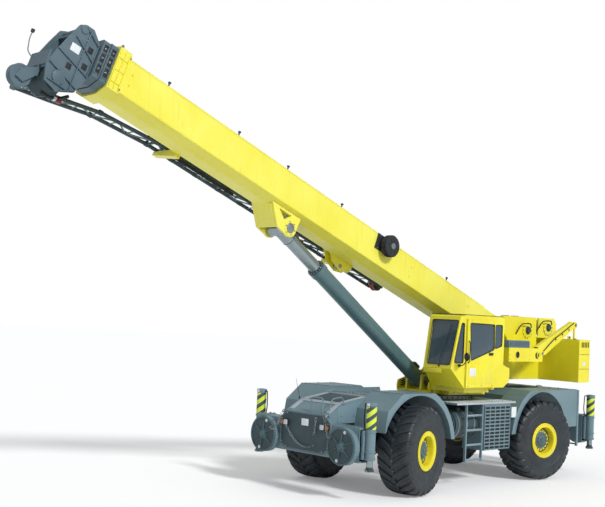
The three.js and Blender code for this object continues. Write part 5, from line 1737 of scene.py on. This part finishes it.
    def arms(self) -> None:
        """Builds the pins, hoses and rams on the counterweight's lifting arms."""
        shape = Shape("arm_fittings", self.site.ground)
        for side in Side:
            s = side.value
            for ahead, up in ((-2.2, 2.98), (-3.72, 3.71)):
                shape.bar(at(s * 1.22, ahead, up), at(s * 1.36, ahead, up), 0.04, STEEL, 24, 0.004)
                shape.bar(at(s * 1.2265, ahead, up), at(s * 1.2395, ahead, up), 0.065, YELLOW, 24, 0.003)
            shape.pipe(
                [
                    at(s * 1.35, -2.25, 3.04), at(s * 1.36, -2.7, 3.34), at(s * 1.36, -3.2, 3.56),
                    at(s * 1.35, -3.62, 3.76),
                ],
                0.013, SEAL, 0.1,
            )
            for i in range(4):
                block(
                    shape, (s * 1.3405, s * 1.37), (-2.5 - i * 0.3, -2.47 - i * 0.3),
                    (3.19 + i * 0.125, 3.225 + i * 0.125), STEEL, 0.003,
                )
        shape.bar(at(-0.9, -2.2, self.box_top), at(-0.9, -2.2, 3.6), 0.006, PLASTIC, 8, tip=0.003)
        shape.bar(at(-0.9, -2.2, self.box_top), at(-0.9, -2.2, 3.14), 0.018, PLASTIC, 14, 0.003)
        shape.finish("turret")

    def build(self) -> None:
        """Builds all of the turret's dressing."""
        self.frame_trim()
        self.foot()
        self.ring()
        self.counterweight()
        self.hoists()
        self.arms()


@dataclass
class Cab:
    """Seals, mirror, handles, wiper, platform and seat of the operator's cab."""

    site: Site
    door_face: float = 1.5663
    roof: float = 3.7905
    screen_foot: Point = (1.48, 2.61)
    screen_head: Point = (1.3, 3.75)

    @staticmethod
    def seal(shape: Shape, corners: Sequence[Vector], radius: float) -> None:
        """Adds a rubber seal round a window.

        Args:
            shape: the shape it joins.
            corners: the window's corners, in order.
            radius: the seal's radius.
        """
        middle = [a.lerp(b, 0.5) for a, b in zip(corners, corners[1:] + corners[:1])]
        path = [middle[-1], *corners, middle[-1]]
        shape.pipe(path, radius, SEAL, 0.05, 8)

    def shell(self) -> None:
        """Builds what is fixed to the cab's shell."""
        shape = Shape("cab_fittings", self.site.ground)
        rear = [(-0.22, 3.13), (0.06, 3.06), (0.06, 3.61), (-0.22, 3.61)]
        self.seal(shape, [at(1.514, a, z) for a, z in rear], 0.008)
        right = [(-0.1, 2.9), (1.15, 2.8), (1.15, 3.6), (-0.1, 3.6)]
        self.seal(shape, [at(0.6185, a, z) for a, z in right], 0.008)
        foot, head = Vector(self.screen_foot), Vector(self.screen_head)
        climb = (head - foot).normalized()
        ahead = Vector((climb.y, -climb.x))
        screen = [(0.71, 0.08), (1.33, 0.08), (1.42, 1.07), (0.71, 1.07)]
        front = [foot + climb * up + ahead * 0.003 for _, up in screen]
        self.seal(shape, [at(x, p.x, p.y) for (x, _), p in zip(screen, front)], 0.008)
        a, c = Vector((1.37, 1.48)), Vector((1.52, 1.175))
        run = (a - c).normalized()
        corner = []
        for forward, up in ((1.41, 2.74), (1.215, 2.74), (1.215, 3.61), (1.272, 3.61)):
            t = (forward - 1.175) / (1.48 - 1.175)
            spot = c.lerp(a, t) + Vector((-run.y, run.x)) * -0.002
            corner.append(at(spot.x, spot.y, up))
        self.seal(shape, corner, 0.008)
        block(shape, (0.616, 1.524), (-0.26, 1.26), (self.roof, 3.806), DARK, 0.005)
        wiper = [foot + climb * up + ahead * 0.02 for up in (0.07, 0.2, 0.75)]
        shape.pipe(
            [at(1.05, p.x, p.y) for p in wiper[:2]] + [at(1.2, wiper[2].x, wiper[2].y)], 0.007, PLASTIC, 0.03,
        )
        blade = [foot + climb * up + ahead * 0.014 for up in (0.5, 0.98)]
        shape.bar(at(1.14, blade[0].x, blade[0].y), at(1.25, blade[1].x, blade[1].y), 0.008, SEAL, 8)
        base = foot + climb * 0.05 + ahead * 0.002
        shape.bar(at(1.05, base.x, base.y), at(1.05, base.x + 0.02, base.y), 0.022, PLASTIC, 16, 0.003)
        block(shape, (0.63, 1.12), (1.4755, 1.482), (2.5, 2.6), YELLOW, 0.003)
        shape.finish("turret")

    def mirror(self) -> None:
        """Builds the round mirror on its stalk at the cab's front corner."""
        shape = Shape("cab_mirror", self.site.ground)
        stalk = [at(1.47, 1.31, 2.69), at(1.6, 1.36, 2.7), at(1.7, 1.39, 2.78), at(1.712, 1.39, 2.86)]
        shape.pipe(stalk, 0.011, PLASTIC, 0.05)
        block(shape, (1.455, 1.49), (1.28, 1.34), (2.66, 2.72), PLASTIC, 0.004)
        face = facing(1.72, 1.39, 2.89, (0.35, 1, 0.05))
        shape.spin(
            [(0, -0.03), (0.06, -0.028), (0.088, -0.01), (0.092, 0.0), (0.088, 0.006), (0, 0.006)], face,
            PLASTIC, 32,
        )
        shape.spin([(0, 0.0055), (0.082, 0.0055), (0.06, 0.01), (0, 0.012)], face, ROD_STEEL, 32)
        shape.finish("turret")

    def door(self) -> None:
        """Builds the door's seal, handle, hinged latch and pressed lower panel."""
        shape = Shape("door_fittings", self.site.ground)
        window = [(0.15, 3.05), (1.02, 2.8), (1.09, 3.62), (0.16, 3.61)]
        self.seal(shape, [at(1.567, a, z) for a, z in window], 0.008)
        panel = [(0.2, 2.3), (1.1, 2.3), (1.1, 2.66), (0.2, 2.86)]
        outer = [(0.19, 2.29), (1.11, 2.29), (1.11, 2.668), (0.19, 2.872)]
        shape.plate(outer, side_plate(1.5662), 0.003, YELLOW, 0.001)
        shape.plate(panel, side_plate(1.5692), 0.002, YELLOW, 0.001)
        block(shape, (self.door_face, 1.588), (0.2, 0.36), (2.92, 2.98), PLASTIC, 0.008)
        shape.bar(at(1.588, 0.22, 2.95), at(1.594, 0.22, 2.95), 0.012, STEEL, 14, 0.002)
        rail = [at(1.567, 1.13, 2.75), at(1.61, 1.13, 2.78), at(1.61, 1.13, 3.2), at(1.567, 1.13, 3.23)]
        shape.pipe(rail, 0.011, PLASTIC, 0.04)
        block(shape, (1.5713, 1.5735), (0.84, 1.06), (2.46, 2.64), PLATE_WHITE, 0.001)
        shape.bolts([facing(self.door_face, a, 2.25, OUT_LEFT) for a in (0.2, 0.6, 1.1)], STEEL, 0.018, 0.008)
        shape.finish("cab_door")

    def platform(self) -> None:
        """Builds the tread plate, gusset and step under the cab."""
        shape = Shape("cab_platform", self.site.ground)
        block(shape, (0.46, 1.46), (-0.06, 0.06), (2.15, 2.199), YELLOW, 0.004)
        gusset = [(-0.02, 2.19), (-0.3, 2.19), (-0.02, 1.99)]
        shape.plate(gusset, side_plate(0.765), 0.016, YELLOW, 0.003)
        shape.plate([(0.95, 2.089), (0.5, 2.089), (0.95, 1.98)], side_plate(0.5), 0.016, YELLOW, 0.003)
        for x in (0.9, 1.1, 1.3):
            shape.bar(at(x, 0.96, 2.0905), at(x, 0.96, 2.06), 0.018, STEEL, 14, 0.003)
        shape.finish("turret")

    def seat(self) -> None:
        """Builds the operator's seat with crowned cushions, arm pads and levers."""
        low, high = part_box("operator_seat")
        middle = (low.x + high.x) / 2
        floor = low.z
        shape = Shape("seat_frame", HERE)
        front, back = low.y, high.y
        shape.box(
            (middle - 0.14, front + 0.14, floor), (middle + 0.14, back - 0.2, floor + 0.1), PLASTIC, 0.02,
        )
        shape.box(
            (middle - 0.09, front + 0.2, floor + 0.09), (middle + 0.09, back - 0.26, floor + 0.28), SEAL,
            0.012,
        )
        for s in (-1, 1):
            shape.box(
                (middle + s * 0.23 - 0.018, front + 0.12, floor + 0.42),
                (middle + s * 0.23 + 0.018, front + 0.5, floor + 0.56), PLASTIC, 0.012,
            )
            shape.bar(
                (middle + s * 0.23, front + 0.14, floor + 0.56),
                (middle + s * 0.23, front + 0.1, floor + 0.7), 0.012, PLASTIC, 14, 0.003,
            )
        shape.finish("turret", ["operator_seat"])
        self._cushion(
            "seat_cushion", Vector((middle, (front + back) / 2 - 0.06, floor + 0.35)), (0.235, 0.25, 0.07),
            0.0,
        )
        self._cushion("seat_back", Vector((middle, back - 0.14, floor + 0.75)), (0.225, 0.36, 0.06), 80)

    @staticmethod
    def _cushion(name: str, centre: Vector, half: Point, lean: float) -> None:
        """Builds one crowned cushion with a welt.

        Args:
            name: its name.
            centre: its middle.
            half: half of its width, length and thickness.
            lean: how far it is stood up, in degrees.
        """
        part = bmesh.new()
        bmesh.ops.create_cube(part, size=2)
        bmesh.ops.subdivide_edges(part, edges=part.edges, cuts=11, use_grid_fill=True)
        for vert in part.verts:
            x, y, z = vert.co
            crown = (1 - x * x) ** 0.5 * (1 - y * y) ** 0.5 if abs(x) < 1 and abs(y) < 1 else 0.0
            pull = 1 - 0.06 * (x * x * y * y)
            side = 1 - 0.12 * abs(z) ** 3
            groove = 0.12 * math.exp(-((abs(x) - 0.62) / 0.06) ** 2)
            vert.co = (
                x * half[0] * pull * side, y * half[1] * pull * side,
                z * half[2] * (0.62 + 0.38 * crown - groove),
            )
        Shape.soften(part, 0.012, 3, 50)
        shape = Shape(name, Matrix.Translation(centre) @ Matrix.Rotation(math.radians(lean), 4, "X"))
        shape.take(part, VINYL)
        piece = shape.finish("turret", smooth=60)

    def build(self) -> None:
        """Builds all of the cab's dressing."""
        self.shell()
        self.mirror()
        self.door()
        self.platform()
        self.seat()


# ---------- boom ----------
@dataclass
class Boom:
    """Details on the boom's sections, nose, jib, reel and lift cylinder."""

    site: Site
    side_face: float = 0.4033
    head_face: float = 0.4685
    nose_face: float = 0.3303
    jib_sides: Point = (-0.535, -0.865)
    collar_pitch: float = 0.151
    base_end: float = 11.82

    def base(self) -> None:
        """Builds rope guides, brackets, weld seams and pads on the base section."""
        shape = Shape("boom_fittings", self.site.boom)
        for along in (1.8, 5.7, 7.4, 8.8, 10.6):
            block(shape, (0.27, 0.33), (along - 0.04, along + 0.04), (0.7475, 0.76), YELLOW, 0.003)
            shape.bar(at(0.3, along, 0.76), at(0.3, along, 0.83), 0.016, DARK, 14, 0.003)
            shape.bar(at(0.3, along, 0.83), at(0.3, along, 0.858), 0.03, DARK, 18, 0.006)
        for side in Side:
            s = side.value
            block(shape, (s * self.side_face, s * 0.407), (0.5, 11.5), (0.702, 0.71), YELLOW, 0.001)
            block(shape, (s * self.side_face, s * 0.4065), (0.5, 11.5), (0.1, 0.106), YELLOW, 0.001)
            for along in (0.9, 3.2, 11.4):
                shape.bolts(
                    [facing(s * self.side_face, along, z, (s, 0, 0)) for z in (0.3, 0.5)], YELLOW, 0.03,
                    0.012,
                )
            for k in range(3):
                block(
                    shape, (s * self.head_face, s * 0.486), (11.59 + k * 0.1, 11.606 + k * 0.1), (0.06, 0.74),
                    YELLOW, 0.003,
                )
                block(
                    shape, (s * self.head_face, s * 0.48), (11.6, 11.8), (0.16 + k * 0.22, 0.172 + k * 0.22),
                    YELLOW, 0.003,
                )
            shape.bolts(
                [facing(s * self.head_face, 11.585, z, (s, 0, 0)) for z in (0.1, 0.7)], STEEL, 0.034, 0.016,
            )
            heel = facing(s * 0.4015, 0, 0, (s, 0, 0))
            shape.spin([(0.095, 0), (0.155, 0), (0.155, 0.014), (0.095, 0.014)], heel, YELLOW, 40)
        for x in (-0.28, 0.28):
            block(shape, (x - 0.05, x + 0.05), (11.6, 11.8), (0.8125, 0.85), YELLOW, 0.008)
            shape.bar(at(x, 11.7, 0.85), at(x, 11.7, 0.93), 0.02, DARK, 14, 0.003)
        shape.bar(at(-0.3, 11.7, 0.9), at(0.3, 11.7, 0.9), 0.022, STEEL, 16)
        self._stow_bracket(shape)
        self._ears(shape)
        shape.finish("boom")

    @staticmethod
    def _stow_bracket(shape: Shape) -> None:
        """Adds the yellow bracket and the black plate that hold the stowed jib.

        Args:
            shape: the boom's shape.
        """
        outline = [(4.35, 0.08), (5.25, 0.08), (5.05, -0.16), (4.75, -0.26), (4.5, -0.2)]
        for x in (-0.36, -0.19):
            shape.plate(outline, side_plate(x), 0.016, YELLOW, 0.003)
        shape.bar(at(-0.4, 4.78, -0.16), at(-0.16, 4.78, -0.16), 0.045, STEEL, 24, 0.004)
        block(shape, (-0.47, -0.44), (7.9, 9.5), (-0.02, 0.04), SEAL, 0.006)
        for along in (8.0, 8.7, 9.4):
            shape.bar(at(-0.47, along, 0.01), at(-0.42, along, 0.09), 0.016, DARK, 12, 0.003)

    @staticmethod
    def _ears(shape: Shape) -> None:
        """Adds pin keepers and welded rims to the ears that hold the rod's eye.

        Args:
            shape: the boom's shape.
        """
        for side in Side:
            s = side.value
            out = facing(s * 0.3103, 6.88, -0.26, (s, 0, 0))
            shape.spin([(0, 0), (0.1, 0), (0.1, 0.02), (0.085, 0.026), (0, 0.03)], out, STEEL, 36)
            shape.spin([(0.105, 0), (0.15, 0), (0.15, 0.012), (0.105, 0.012)], out, BOOM_YELLOW_PAINTED_SHEEN, 36)
            shape.bolts([out @ m for m in ring_places(6, 0.128, 0.012)], STEEL, 0.02, 0.01)

    def collars(self) -> None:
        """Builds ribs, pad adjusters and dark panels of painted shade between the ribs on the heads of
        sections two and three.
        """
        for number in (2, 3):
            start = self.base_end + 0.006 + (number - 2) * self.collar_pitch
            outer = 0.403 + 0.04 - 0.014 * (number - 1)
            shape = Shape(f"boom_collar_{number}", self.site.boom)
            for s in (-1, 1):
                for along in (start + 0.012, start + 0.118):
                    block(
                        shape, (s * (outer + 0.0005), s * (outer + 0.014)), (along, along + 0.014),
                        (0.1, 0.7), BOOM_GREY, 0.003,
                    )
                for z in (0.14, 0.34, 0.54, 0.68):
                    block(
                        shape, (s * (outer + 0.0005), s * (outer + 0.012)), (start + 0.02, start + 0.125),
                        (z, z + 0.014), BOOM_GREY, 0.003,
                    )
                    # Dark panels in the cells between the ribs: painted shade.
                    block(
                        shape, (s * (outer + 0.0003), s * (outer + 0.002)), (start + 0.03, start + 0.115),
                        (z + 0.02, min(z + 0.18, 0.7)), SEAL, 0.0005,
                    )
                shape.bolts(
                    [facing(s * (outer + 0.002), start + 0.072, z, (s, 0, 0)) for z in (0.24, 0.44, 0.61)],
                    STEEL, 0.03, 0.016,
                )
            shape.finish(f"boom_{number}")

    def nose(self) -> None:
        """Builds ribs, plates, rope guards, guides and the wind gauge on the boom's nose."""
        shape = Shape("nose_fittings", self.site.boom)
        back = self.base_end + 0.006 + 2 * self.collar_pitch
        for side in Side:
            s = side.value
            x = s * self.nose_face
            for a, b in (
                ((back + 0.02, 0.6), (12.46, 0.79)), ((back + 0.02, 0.3), (12.58, 0.55)),
                ((back + 0.02, 0.02), (12.8, 0.2)), ((back + 0.12, -0.27), (12.86, -0.08)),
                ((back + 0.02, 0.62), (back + 0.02, 0.0)), ((12.36, 0.8), (12.36, -0.38)),
                ((12.36, -0.38), (12.78, -0.36)), ((back + 0.12, -0.29), (12.5, -0.44)),
            ):
                self._rib(shape, x, s, a, b)
            boss = facing(x, 12.6, -0.25, (s, 0, 0))
            shape.spin([(0, 0), (0.12, 0), (0.12, 0.02), (0.08, 0.03), (0.0, 0.034)], boss, BOOM_GREY, 36)
            shape.bolts([boss @ m for m in ring_places(8, 0.1, 0.02)], STEEL, 0.02, 0.01)
            upper = facing(x, 12.48, 0.737, (s, 0, 0))
            shape.spin([(0, 0), (0.075, 0), (0.075, 0.016), (0, 0.02)], upper, BOOM_GREY, 28)
            block(shape, (s * 0.3304, s * 0.334), (12.42, 12.6), (0.28, 0.42), PLATE_WHITE, 0.002)
            for a, b in ((12.2, 0.47), (12.2, 0.16), (12.46, 0.02)):
                block(shape, (s * 0.3304, s * 0.3325), (a, a + 0.1), (b - 0.06, b + 0.05), SEAL, 0.002)
        for along in (12.34, 12.43):
            shape.bar(at(-0.3, along, 0.79), at(0.3, along, 0.79), 0.018, STEEL, 14)
        shape.pipe(
            [at(-0.24, 12.9, 0.05), at(-0.24, 13.0, 0.1), at(-0.24, 13.05, 0.3), at(-0.24, 13.05, 0.44)],
            0.01, STEEL, 0.05,
        )
        cup = Matrix.Translation(at(-0.24, 13.05, 0.46))
        shape.spin([(0, -0.03), (0.03, -0.03), (0.034, 0.02), (0, 0.035)], cup, PLASTIC, 20)
        shape.pipe(
            [at(0.0, 12.62, -0.5), at(0.0, 12.45, -0.5), at(0.0, 12.28, -0.42), at(0.0, 12.15, -0.3)], 0.03,
            PLASTIC, 0.1,
        )
        block(shape, (-0.04, 0.04), (12.24, 12.33), (-0.5, -0.44), RED, 0.006)
        block(shape, (-0.041, 0.041), (12.34, 12.39), (-0.5, -0.44), PLATE_WHITE, 0.004)
        shape.finish("boom_4")
        disc = Shape("aux_sheave_face", self.site.boom)
        for s in (-1, 1):
            out = facing(s * 0.0641, 13.08, -0.455, (s, 0, 0))
            disc.spin([(0.15, 0), (0.182, 0), (0.178, 0.004), (0.154, 0.004)], out, BOOM_GREY, 44)
            disc.spin([(0.047, 0), (0.075, 0), (0.07, 0.004), (0.047, 0.004)], out, STEEL, 36)
        disc.finish("aux_sheave")

    @staticmethod
    def _rib(shape: Shape, x: float, s: int, a: Point, b: Point) -> None:
        """Adds a welded rib on the nose's side plate.

        Args:
            shape: the nose's shape.
            x: where the plate's face is.
            s: the side's sign.
            a: start, along and above.
            b: end, along and above.
        """
        start, stop = Vector((a[0], a[1])), Vector((b[0], b[1]))
        run = (stop - start).normalized()
        side = Vector((-run.y, run.x)) * 0.007
        outline = [start - side, stop - side, stop + side, start + side]
        place = side_plate(x if s > 0 else x - 0.03)
        shape.plate([(p.x, p.y) for p in outline], place, 0.03, BOOM_GREY, 0.002)

    def jib(self) -> None:
        """Builds joints, lugs, end plates and clamps on the stowed jib."""
        shape = Shape("jib_fittings", self.site.boom)
        left, right = self.jib_sides
        for along in [4.2 + i * (5.7 / 9) for i in range(10)]:
            for x in (left, right):
                for up in (0.105, 0.585):
                    shape.bar(at(x, along - 0.05, up), at(x, along + 0.05, up), 0.042, DARK, 14, 0.004)
        lower = [(3.0 + i * 0.46, 0.105) for i in range(16)] + [(10.4, 0.062), (10.8, 0.031), (11.2, -0.005)]
        lower += [(11.6, -0.095), (12.0, -0.185), (12.4, -0.266), (12.7, -0.325)]
        for i, (a, b) in enumerate(zip(lower, lower[1:])):
            ends = (left, right) if i % 2 else (right, left)
            shape.bar(at(ends[0], *a), at(ends[1], *b), 0.014, GREY, 10)
            shape.bar(at(left, *b), at(right, *b), 0.012, GREY, 10)
        for x in (left, right):
            shape.bar(at(x, 12.68, -0.325), at(x, 12.76, -0.335), 0.05, BOOM_GREY, 18, 0.006)
            for along in (9.86, 11.16):
                up = 0.105 if along < 10 else -0.005
                shape.bar(at(x, along, up), at(x, along + 0.08, up), 0.05, DARK, 18, 0.005)
        for along in (4.6, 9.6):
            for x in (left, right):
                shape.pipe(
                    [
                        at(x - 0.06, along, 0.06), at(x - 0.06, along, 0.15), at(x + 0.06, along, 0.15),
                        at(x + 0.06, along, 0.06),
                    ],
                    0.009, STEEL, 0.03,
                )
        for s in (left, right):
            out = 0.0145 if s == left else -0.0145
            place = facing(s + out * 1.45, 3.0, 0.165, (1 if s == left else -1, 0, 0))
            shape.spin([(0, 0), (0.07, 0), (0.07, 0.018), (0.05, 0.026), (0, 0.028)], place, STEEL, 28)
        rope = facing((left + right) / 2, 3.0, 0.165, (1, 0, 0))
        shape.spin(
            [
                (0.141, -0.06), (0.152, -0.06), (0.152, -0.02), (0.143, 0.0), (0.152, 0.02), (0.152, 0.06),
                (0.141, 0.06),
            ],
            rope, RED, 40,
        )
        block(shape, (right + 0.02, left - 0.02), (6.0, 6.5), (0.14, 0.147), BOOM_GREY, 0.002)
        shape.finish("boom")

    def reel(self) -> None:
        """Builds the cable wound on the reel, its flange ribs and cover."""
        shape = Shape("reel_fittings", self.site.boom)
        out = facing(0.6034, 4.2, 0.56, OUT_LEFT)
        shape.spin([(0, 0), (0.224, 0), (0.226, 0.006), (0.2, 0.01), (0.0, 0.012)], out, PLASTIC, 56)
        shape.spin([(0, 0.01), (0.07, 0.01), (0.066, 0.034), (0, 0.038)], out, STEEL, 32)
        for turn in ring_places(8, 0.13, 0.012):
            part = bmesh.new()
            bmesh.ops.create_cube(part, size=1, matrix=Matrix.LocRotScale(None, None, (0.11, 0.014, 0.012)))
            Shape.soften(part, 0.003)
            shape.take(part, PLASTIC, [out @ turn])
        wound = [(0.2305, -0.13)]
        for i in range(6):
            low = -0.128 + i * 0.021
            wound += [(0.232, low), (0.238, low + 0.007), (0.238, low + 0.014), (0.232, low + 0.02)]
        wound.append((0.2305, 0.0))
        shape.spin(wound, out, SEAL, 56)
        for along in (4.45, 4.28):
            shape.bolts([facing(0.4235, along, z, OUT_LEFT) for z in (0.42, 0.7)], STEEL, 0.026, 0.012)
        shape.finish("boom")

    def cylinder(self) -> None:
        """Builds the lift cylinder's gland, ports, pipes and the rod eye's weld."""
        shape = Shape("barrel_fittings", self.site.cylinder)
        head = Matrix.Translation(at(0, 4.2403, 0)) @ FACE_FRONT
        shape.spin([(0.137, 0), (0.186, 0), (0.186, 0.012), (0.165, 0.022), (0.137, 0.026)], head, DARK, 56)
        shape.bolts([head @ m for m in ring_places(16, 0.163, 0.02)], STEEL, 0.022, 0.012)
        for x, high in ((-0.1, 0.172), (-0.155, 0.122)):
            shape.pipe(
                [
                    at(x, 0.3, high), at(x * 1.02, 0.34, high + 0.014), at(x * 1.02, 3.9, high + 0.014),
                    at(x, 3.98, high - 0.01),
                ],
                0.013, DARK, 0.05,
            )
        block(shape, (-0.07, 0.07), (0.2, 0.4), (0.172, 0.235), DARK, 0.012)
        block(shape, (-0.17, -0.03), (3.94, 4.08), (0.15, 0.2), DARK, 0.01)
        shape.finish("barrel")
        eye = Shape("rod_eye_fittings", self.site.cylinder)
        length = 5.5455
        for s in (-1, 1):
            out = facing(s * 0.2, length, 0, (s, 0, 0))
            eye.spin([(0.075, 0), (0.14, 0), (0.137, 0.004), (0.078, 0.004)], out, CYLINDER, 40)
        wiper = Matrix.Translation(at(0, length - 0.335, 0)) @ FACE_FRONT
        eye.spin([(0.1355, -0.006), (0.15, -0.004), (0.15, 0.006), (0.1355, 0.008)], wiper, DARK, 48)
        eye.finish("rod")

    def build(self) -> None:
        """Builds all of the boom's dressing."""
        self.base()
        self.collars()
        self.nose()
        self.jib()
        self.reel()
        self.cylinder()


# ---------- stage ----------
NODE_FINISH: dict[Finish, tuple[str, ...]] = {
    GREY: (
        "front_outrigger_box", "rear_outrigger_box", "front_body", "rear_body", "engine_hood", "mid_deck",
        "grille_box", "outrigger_beam",
    ),
    DARK: ("carrier_frame", "fuel_tank", "hydraulic_tank", "nose_sheaves", "swing_away_jib"),
    IRON: ("engine_block", "front_axle", "rear_axle", "steering_knuckle"),
    YELLOW: ("turret_frame", "counterweight", "cab_shell", "cab_door"),
    # The boom's base takes the yellow with painted sheen.
    BOOM_YELLOW_PAINTED_SHEEN: ("boom_base",),
    BOOM_GREY: ("boom_section_2", "boom_section_3", "boom_tip", "aux_nose_sheave"),
    CYLINDER: ("lift_cylinder_barrel",),
    ROD_STEEL: ("lift_cylinder_rod", "jack_rod"),
    STEEL: ("main_hoist_drum", "aux_hoist_drum", "boom_pivot_pin", "lift_piston_ring", "cylinder_foot_pin"),
    PLASTIC: ("control_column", "operator_seat", "cable_reel"),
    RIM_YELLOW: ("rim",),
    RUBBER: ("tyre",),
    GLASS: ("door_glass", "corner_glass", "rear_side_glass", "right_glass", "windscreen", "back_glass"),
}


@dataclass
class Stage:
    """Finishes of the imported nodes, camera, light and floor."""

    site: Site
    nodes: dict[str, bpy.types.Object]

    def dress_nodes(self) -> None:
        """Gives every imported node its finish."""
        for name, node in self.nodes.items():
            finish = next(one for one, starts in NODE_FINISH.items() if name.startswith(starts))
            if not node.material_slots:
                node.data.materials.append(None)
            for slot in node.material_slots:
                slot.material = SHOP.material(finish)

    def camera(self) -> None:
        """Places the camera."""
        yaw, pitch, roll = 0.788925, 0.063033, 0.050470
        ahead = Vector((-math.sin(yaw) * math.cos(pitch), math.cos(yaw) * math.cos(pitch), math.sin(pitch)))
        right = ahead.cross(Vector((0, 0, 1))).normalized()
        up = right.cross(ahead)
        turned = right * math.cos(roll) + up * math.sin(roll)
        risen = up * math.cos(roll) - right * math.sin(roll)
        data = bpy.data.cameras.new("camera")
        data.lens = 60.546
        data.sensor_width = 36
        data.clip_end = 400
        camera = bpy.data.objects.new("camera", data)
        matrix = Matrix((turned, risen, -ahead)).transposed().to_4x4()
        matrix.translation = Vector((14.711884, self.site.slew_y - 19.414493, 3.549115))
        camera.matrix_world = matrix
        bpy.context.scene.collection.objects.link(camera)
        bpy.context.scene.camera = camera

    def light(self) -> None:
        """Places the key light, the soft fill and the pale sky."""
        for name, direction, power, angle in (
            ("key", (-0.85, 0.06, -0.6), 2.4, 10.0), ("fill", (0.3, 0.9, -0.35), 0.14, 50.0),
        ):
            data = bpy.data.lights.new(name, "SUN")
            data.energy = power
            data.angle = math.radians(angle)
            lamp = bpy.data.objects.new(name, data)
            lamp.rotation_mode = "QUATERNION"
            lamp.rotation_quaternion = Vector(direction).to_track_quat("-Z", "Y")
            lamp.location = (0, 0, 20)
            bpy.context.scene.collection.objects.link(lamp)
        world = bpy.data.worlds.new("sky")
        world.use_nodes = True
        tree = world.node_tree
        tree.nodes.clear()
        out = tree.nodes.new("ShaderNodeOutputWorld")
        seen = tree.nodes.new("ShaderNodeBackground")
        seen.inputs["Color"].default_value = (1, 1, 1, 1)
        sky = tree.nodes.new("ShaderNodeBackground")
        sky.inputs["Color"].default_value = (0.94, 0.97, 1, 1)
        sky.inputs["Strength"].default_value = 0.46
        mix = tree.nodes.new("ShaderNodeMixShader")
        path = tree.nodes.new("ShaderNodeLightPath")
        tree.links.new(path.outputs["Is Camera Ray"], mix.inputs[0])
        tree.links.new(sky.outputs[0], mix.inputs[1])
        tree.links.new(seen.outputs[0], mix.inputs[2])
        tree.links.new(mix.outputs[0], out.inputs["Surface"])
        bpy.context.scene.world = world
        bpy.context.scene.view_settings.view_transform = "Standard"

    def floor(self) -> None:
        """Lays the pale floor."""
        part = bmesh.new()
        bmesh.ops.create_circle(part, cap_ends=True, segments=96, radius=150)
        data = bpy.data.meshes.new("floor")
        part.to_mesh(data)
        part.free()
        material = bpy.data.materials.new("floor_pale")
        material.use_nodes = True
        shader = material.node_tree.nodes["Principled BSDF"]
        shader.inputs["Base Color"].default_value = (0.93, 0.93, 0.93, 1)
        shader.inputs["Roughness"].default_value = 0.9
        shader.inputs["Specular IOR Level"].default_value = 0.1
        tree = material.node_tree
        path = tree.nodes.new("ShaderNodeLightPath")
        lift = tree.nodes.new("ShaderNodeMath")
        lift.operation = "MULTIPLY"
        lift.inputs[1].default_value = 0.17
        shader.inputs["Emission Color"].default_value = (1, 1, 1, 1)
        tree.links.new(path.outputs["Is Camera Ray"], lift.inputs[0])
        tree.links.new(lift.outputs[0], shader.inputs["Emission Strength"])
        data.materials.append(material)
        floor = bpy.data.objects.new("floor", data)
        floor.location = (0, 0, -0.002)
        bpy.context.scene.collection.objects.link(floor)

    def build(self) -> None:
        """Dresses the nodes and sets the stage."""
        self.dress_nodes()
        self.camera()
        self.light()
        self.floor()


def main() -> None:
    """Builds every class in order."""
    logging.basicConfig(level=logging.INFO, format="%(message)s")
    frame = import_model()
    joints = {joint["name"]: joint for joint in frame["joints"]}
    boom_axis = Vector(joints["boom_extend_2"]["axis"])
    site = Site(joints["slew"]["pos_m"][1], math.degrees(math.asin(boom_axis.z)), joints)
    Stage(site, frame["nodes"]).build()
    for end in End:
        for side in Side:
            Wheel(site, end, side).build()
        OutriggerEnd(site, end).build()
    FrontFace(site).build()
    Decks(site).build()
    Turret(site).build()
    Cab(site).build()
    Boom(site).build()


if __name__ == "__main__":
    main()
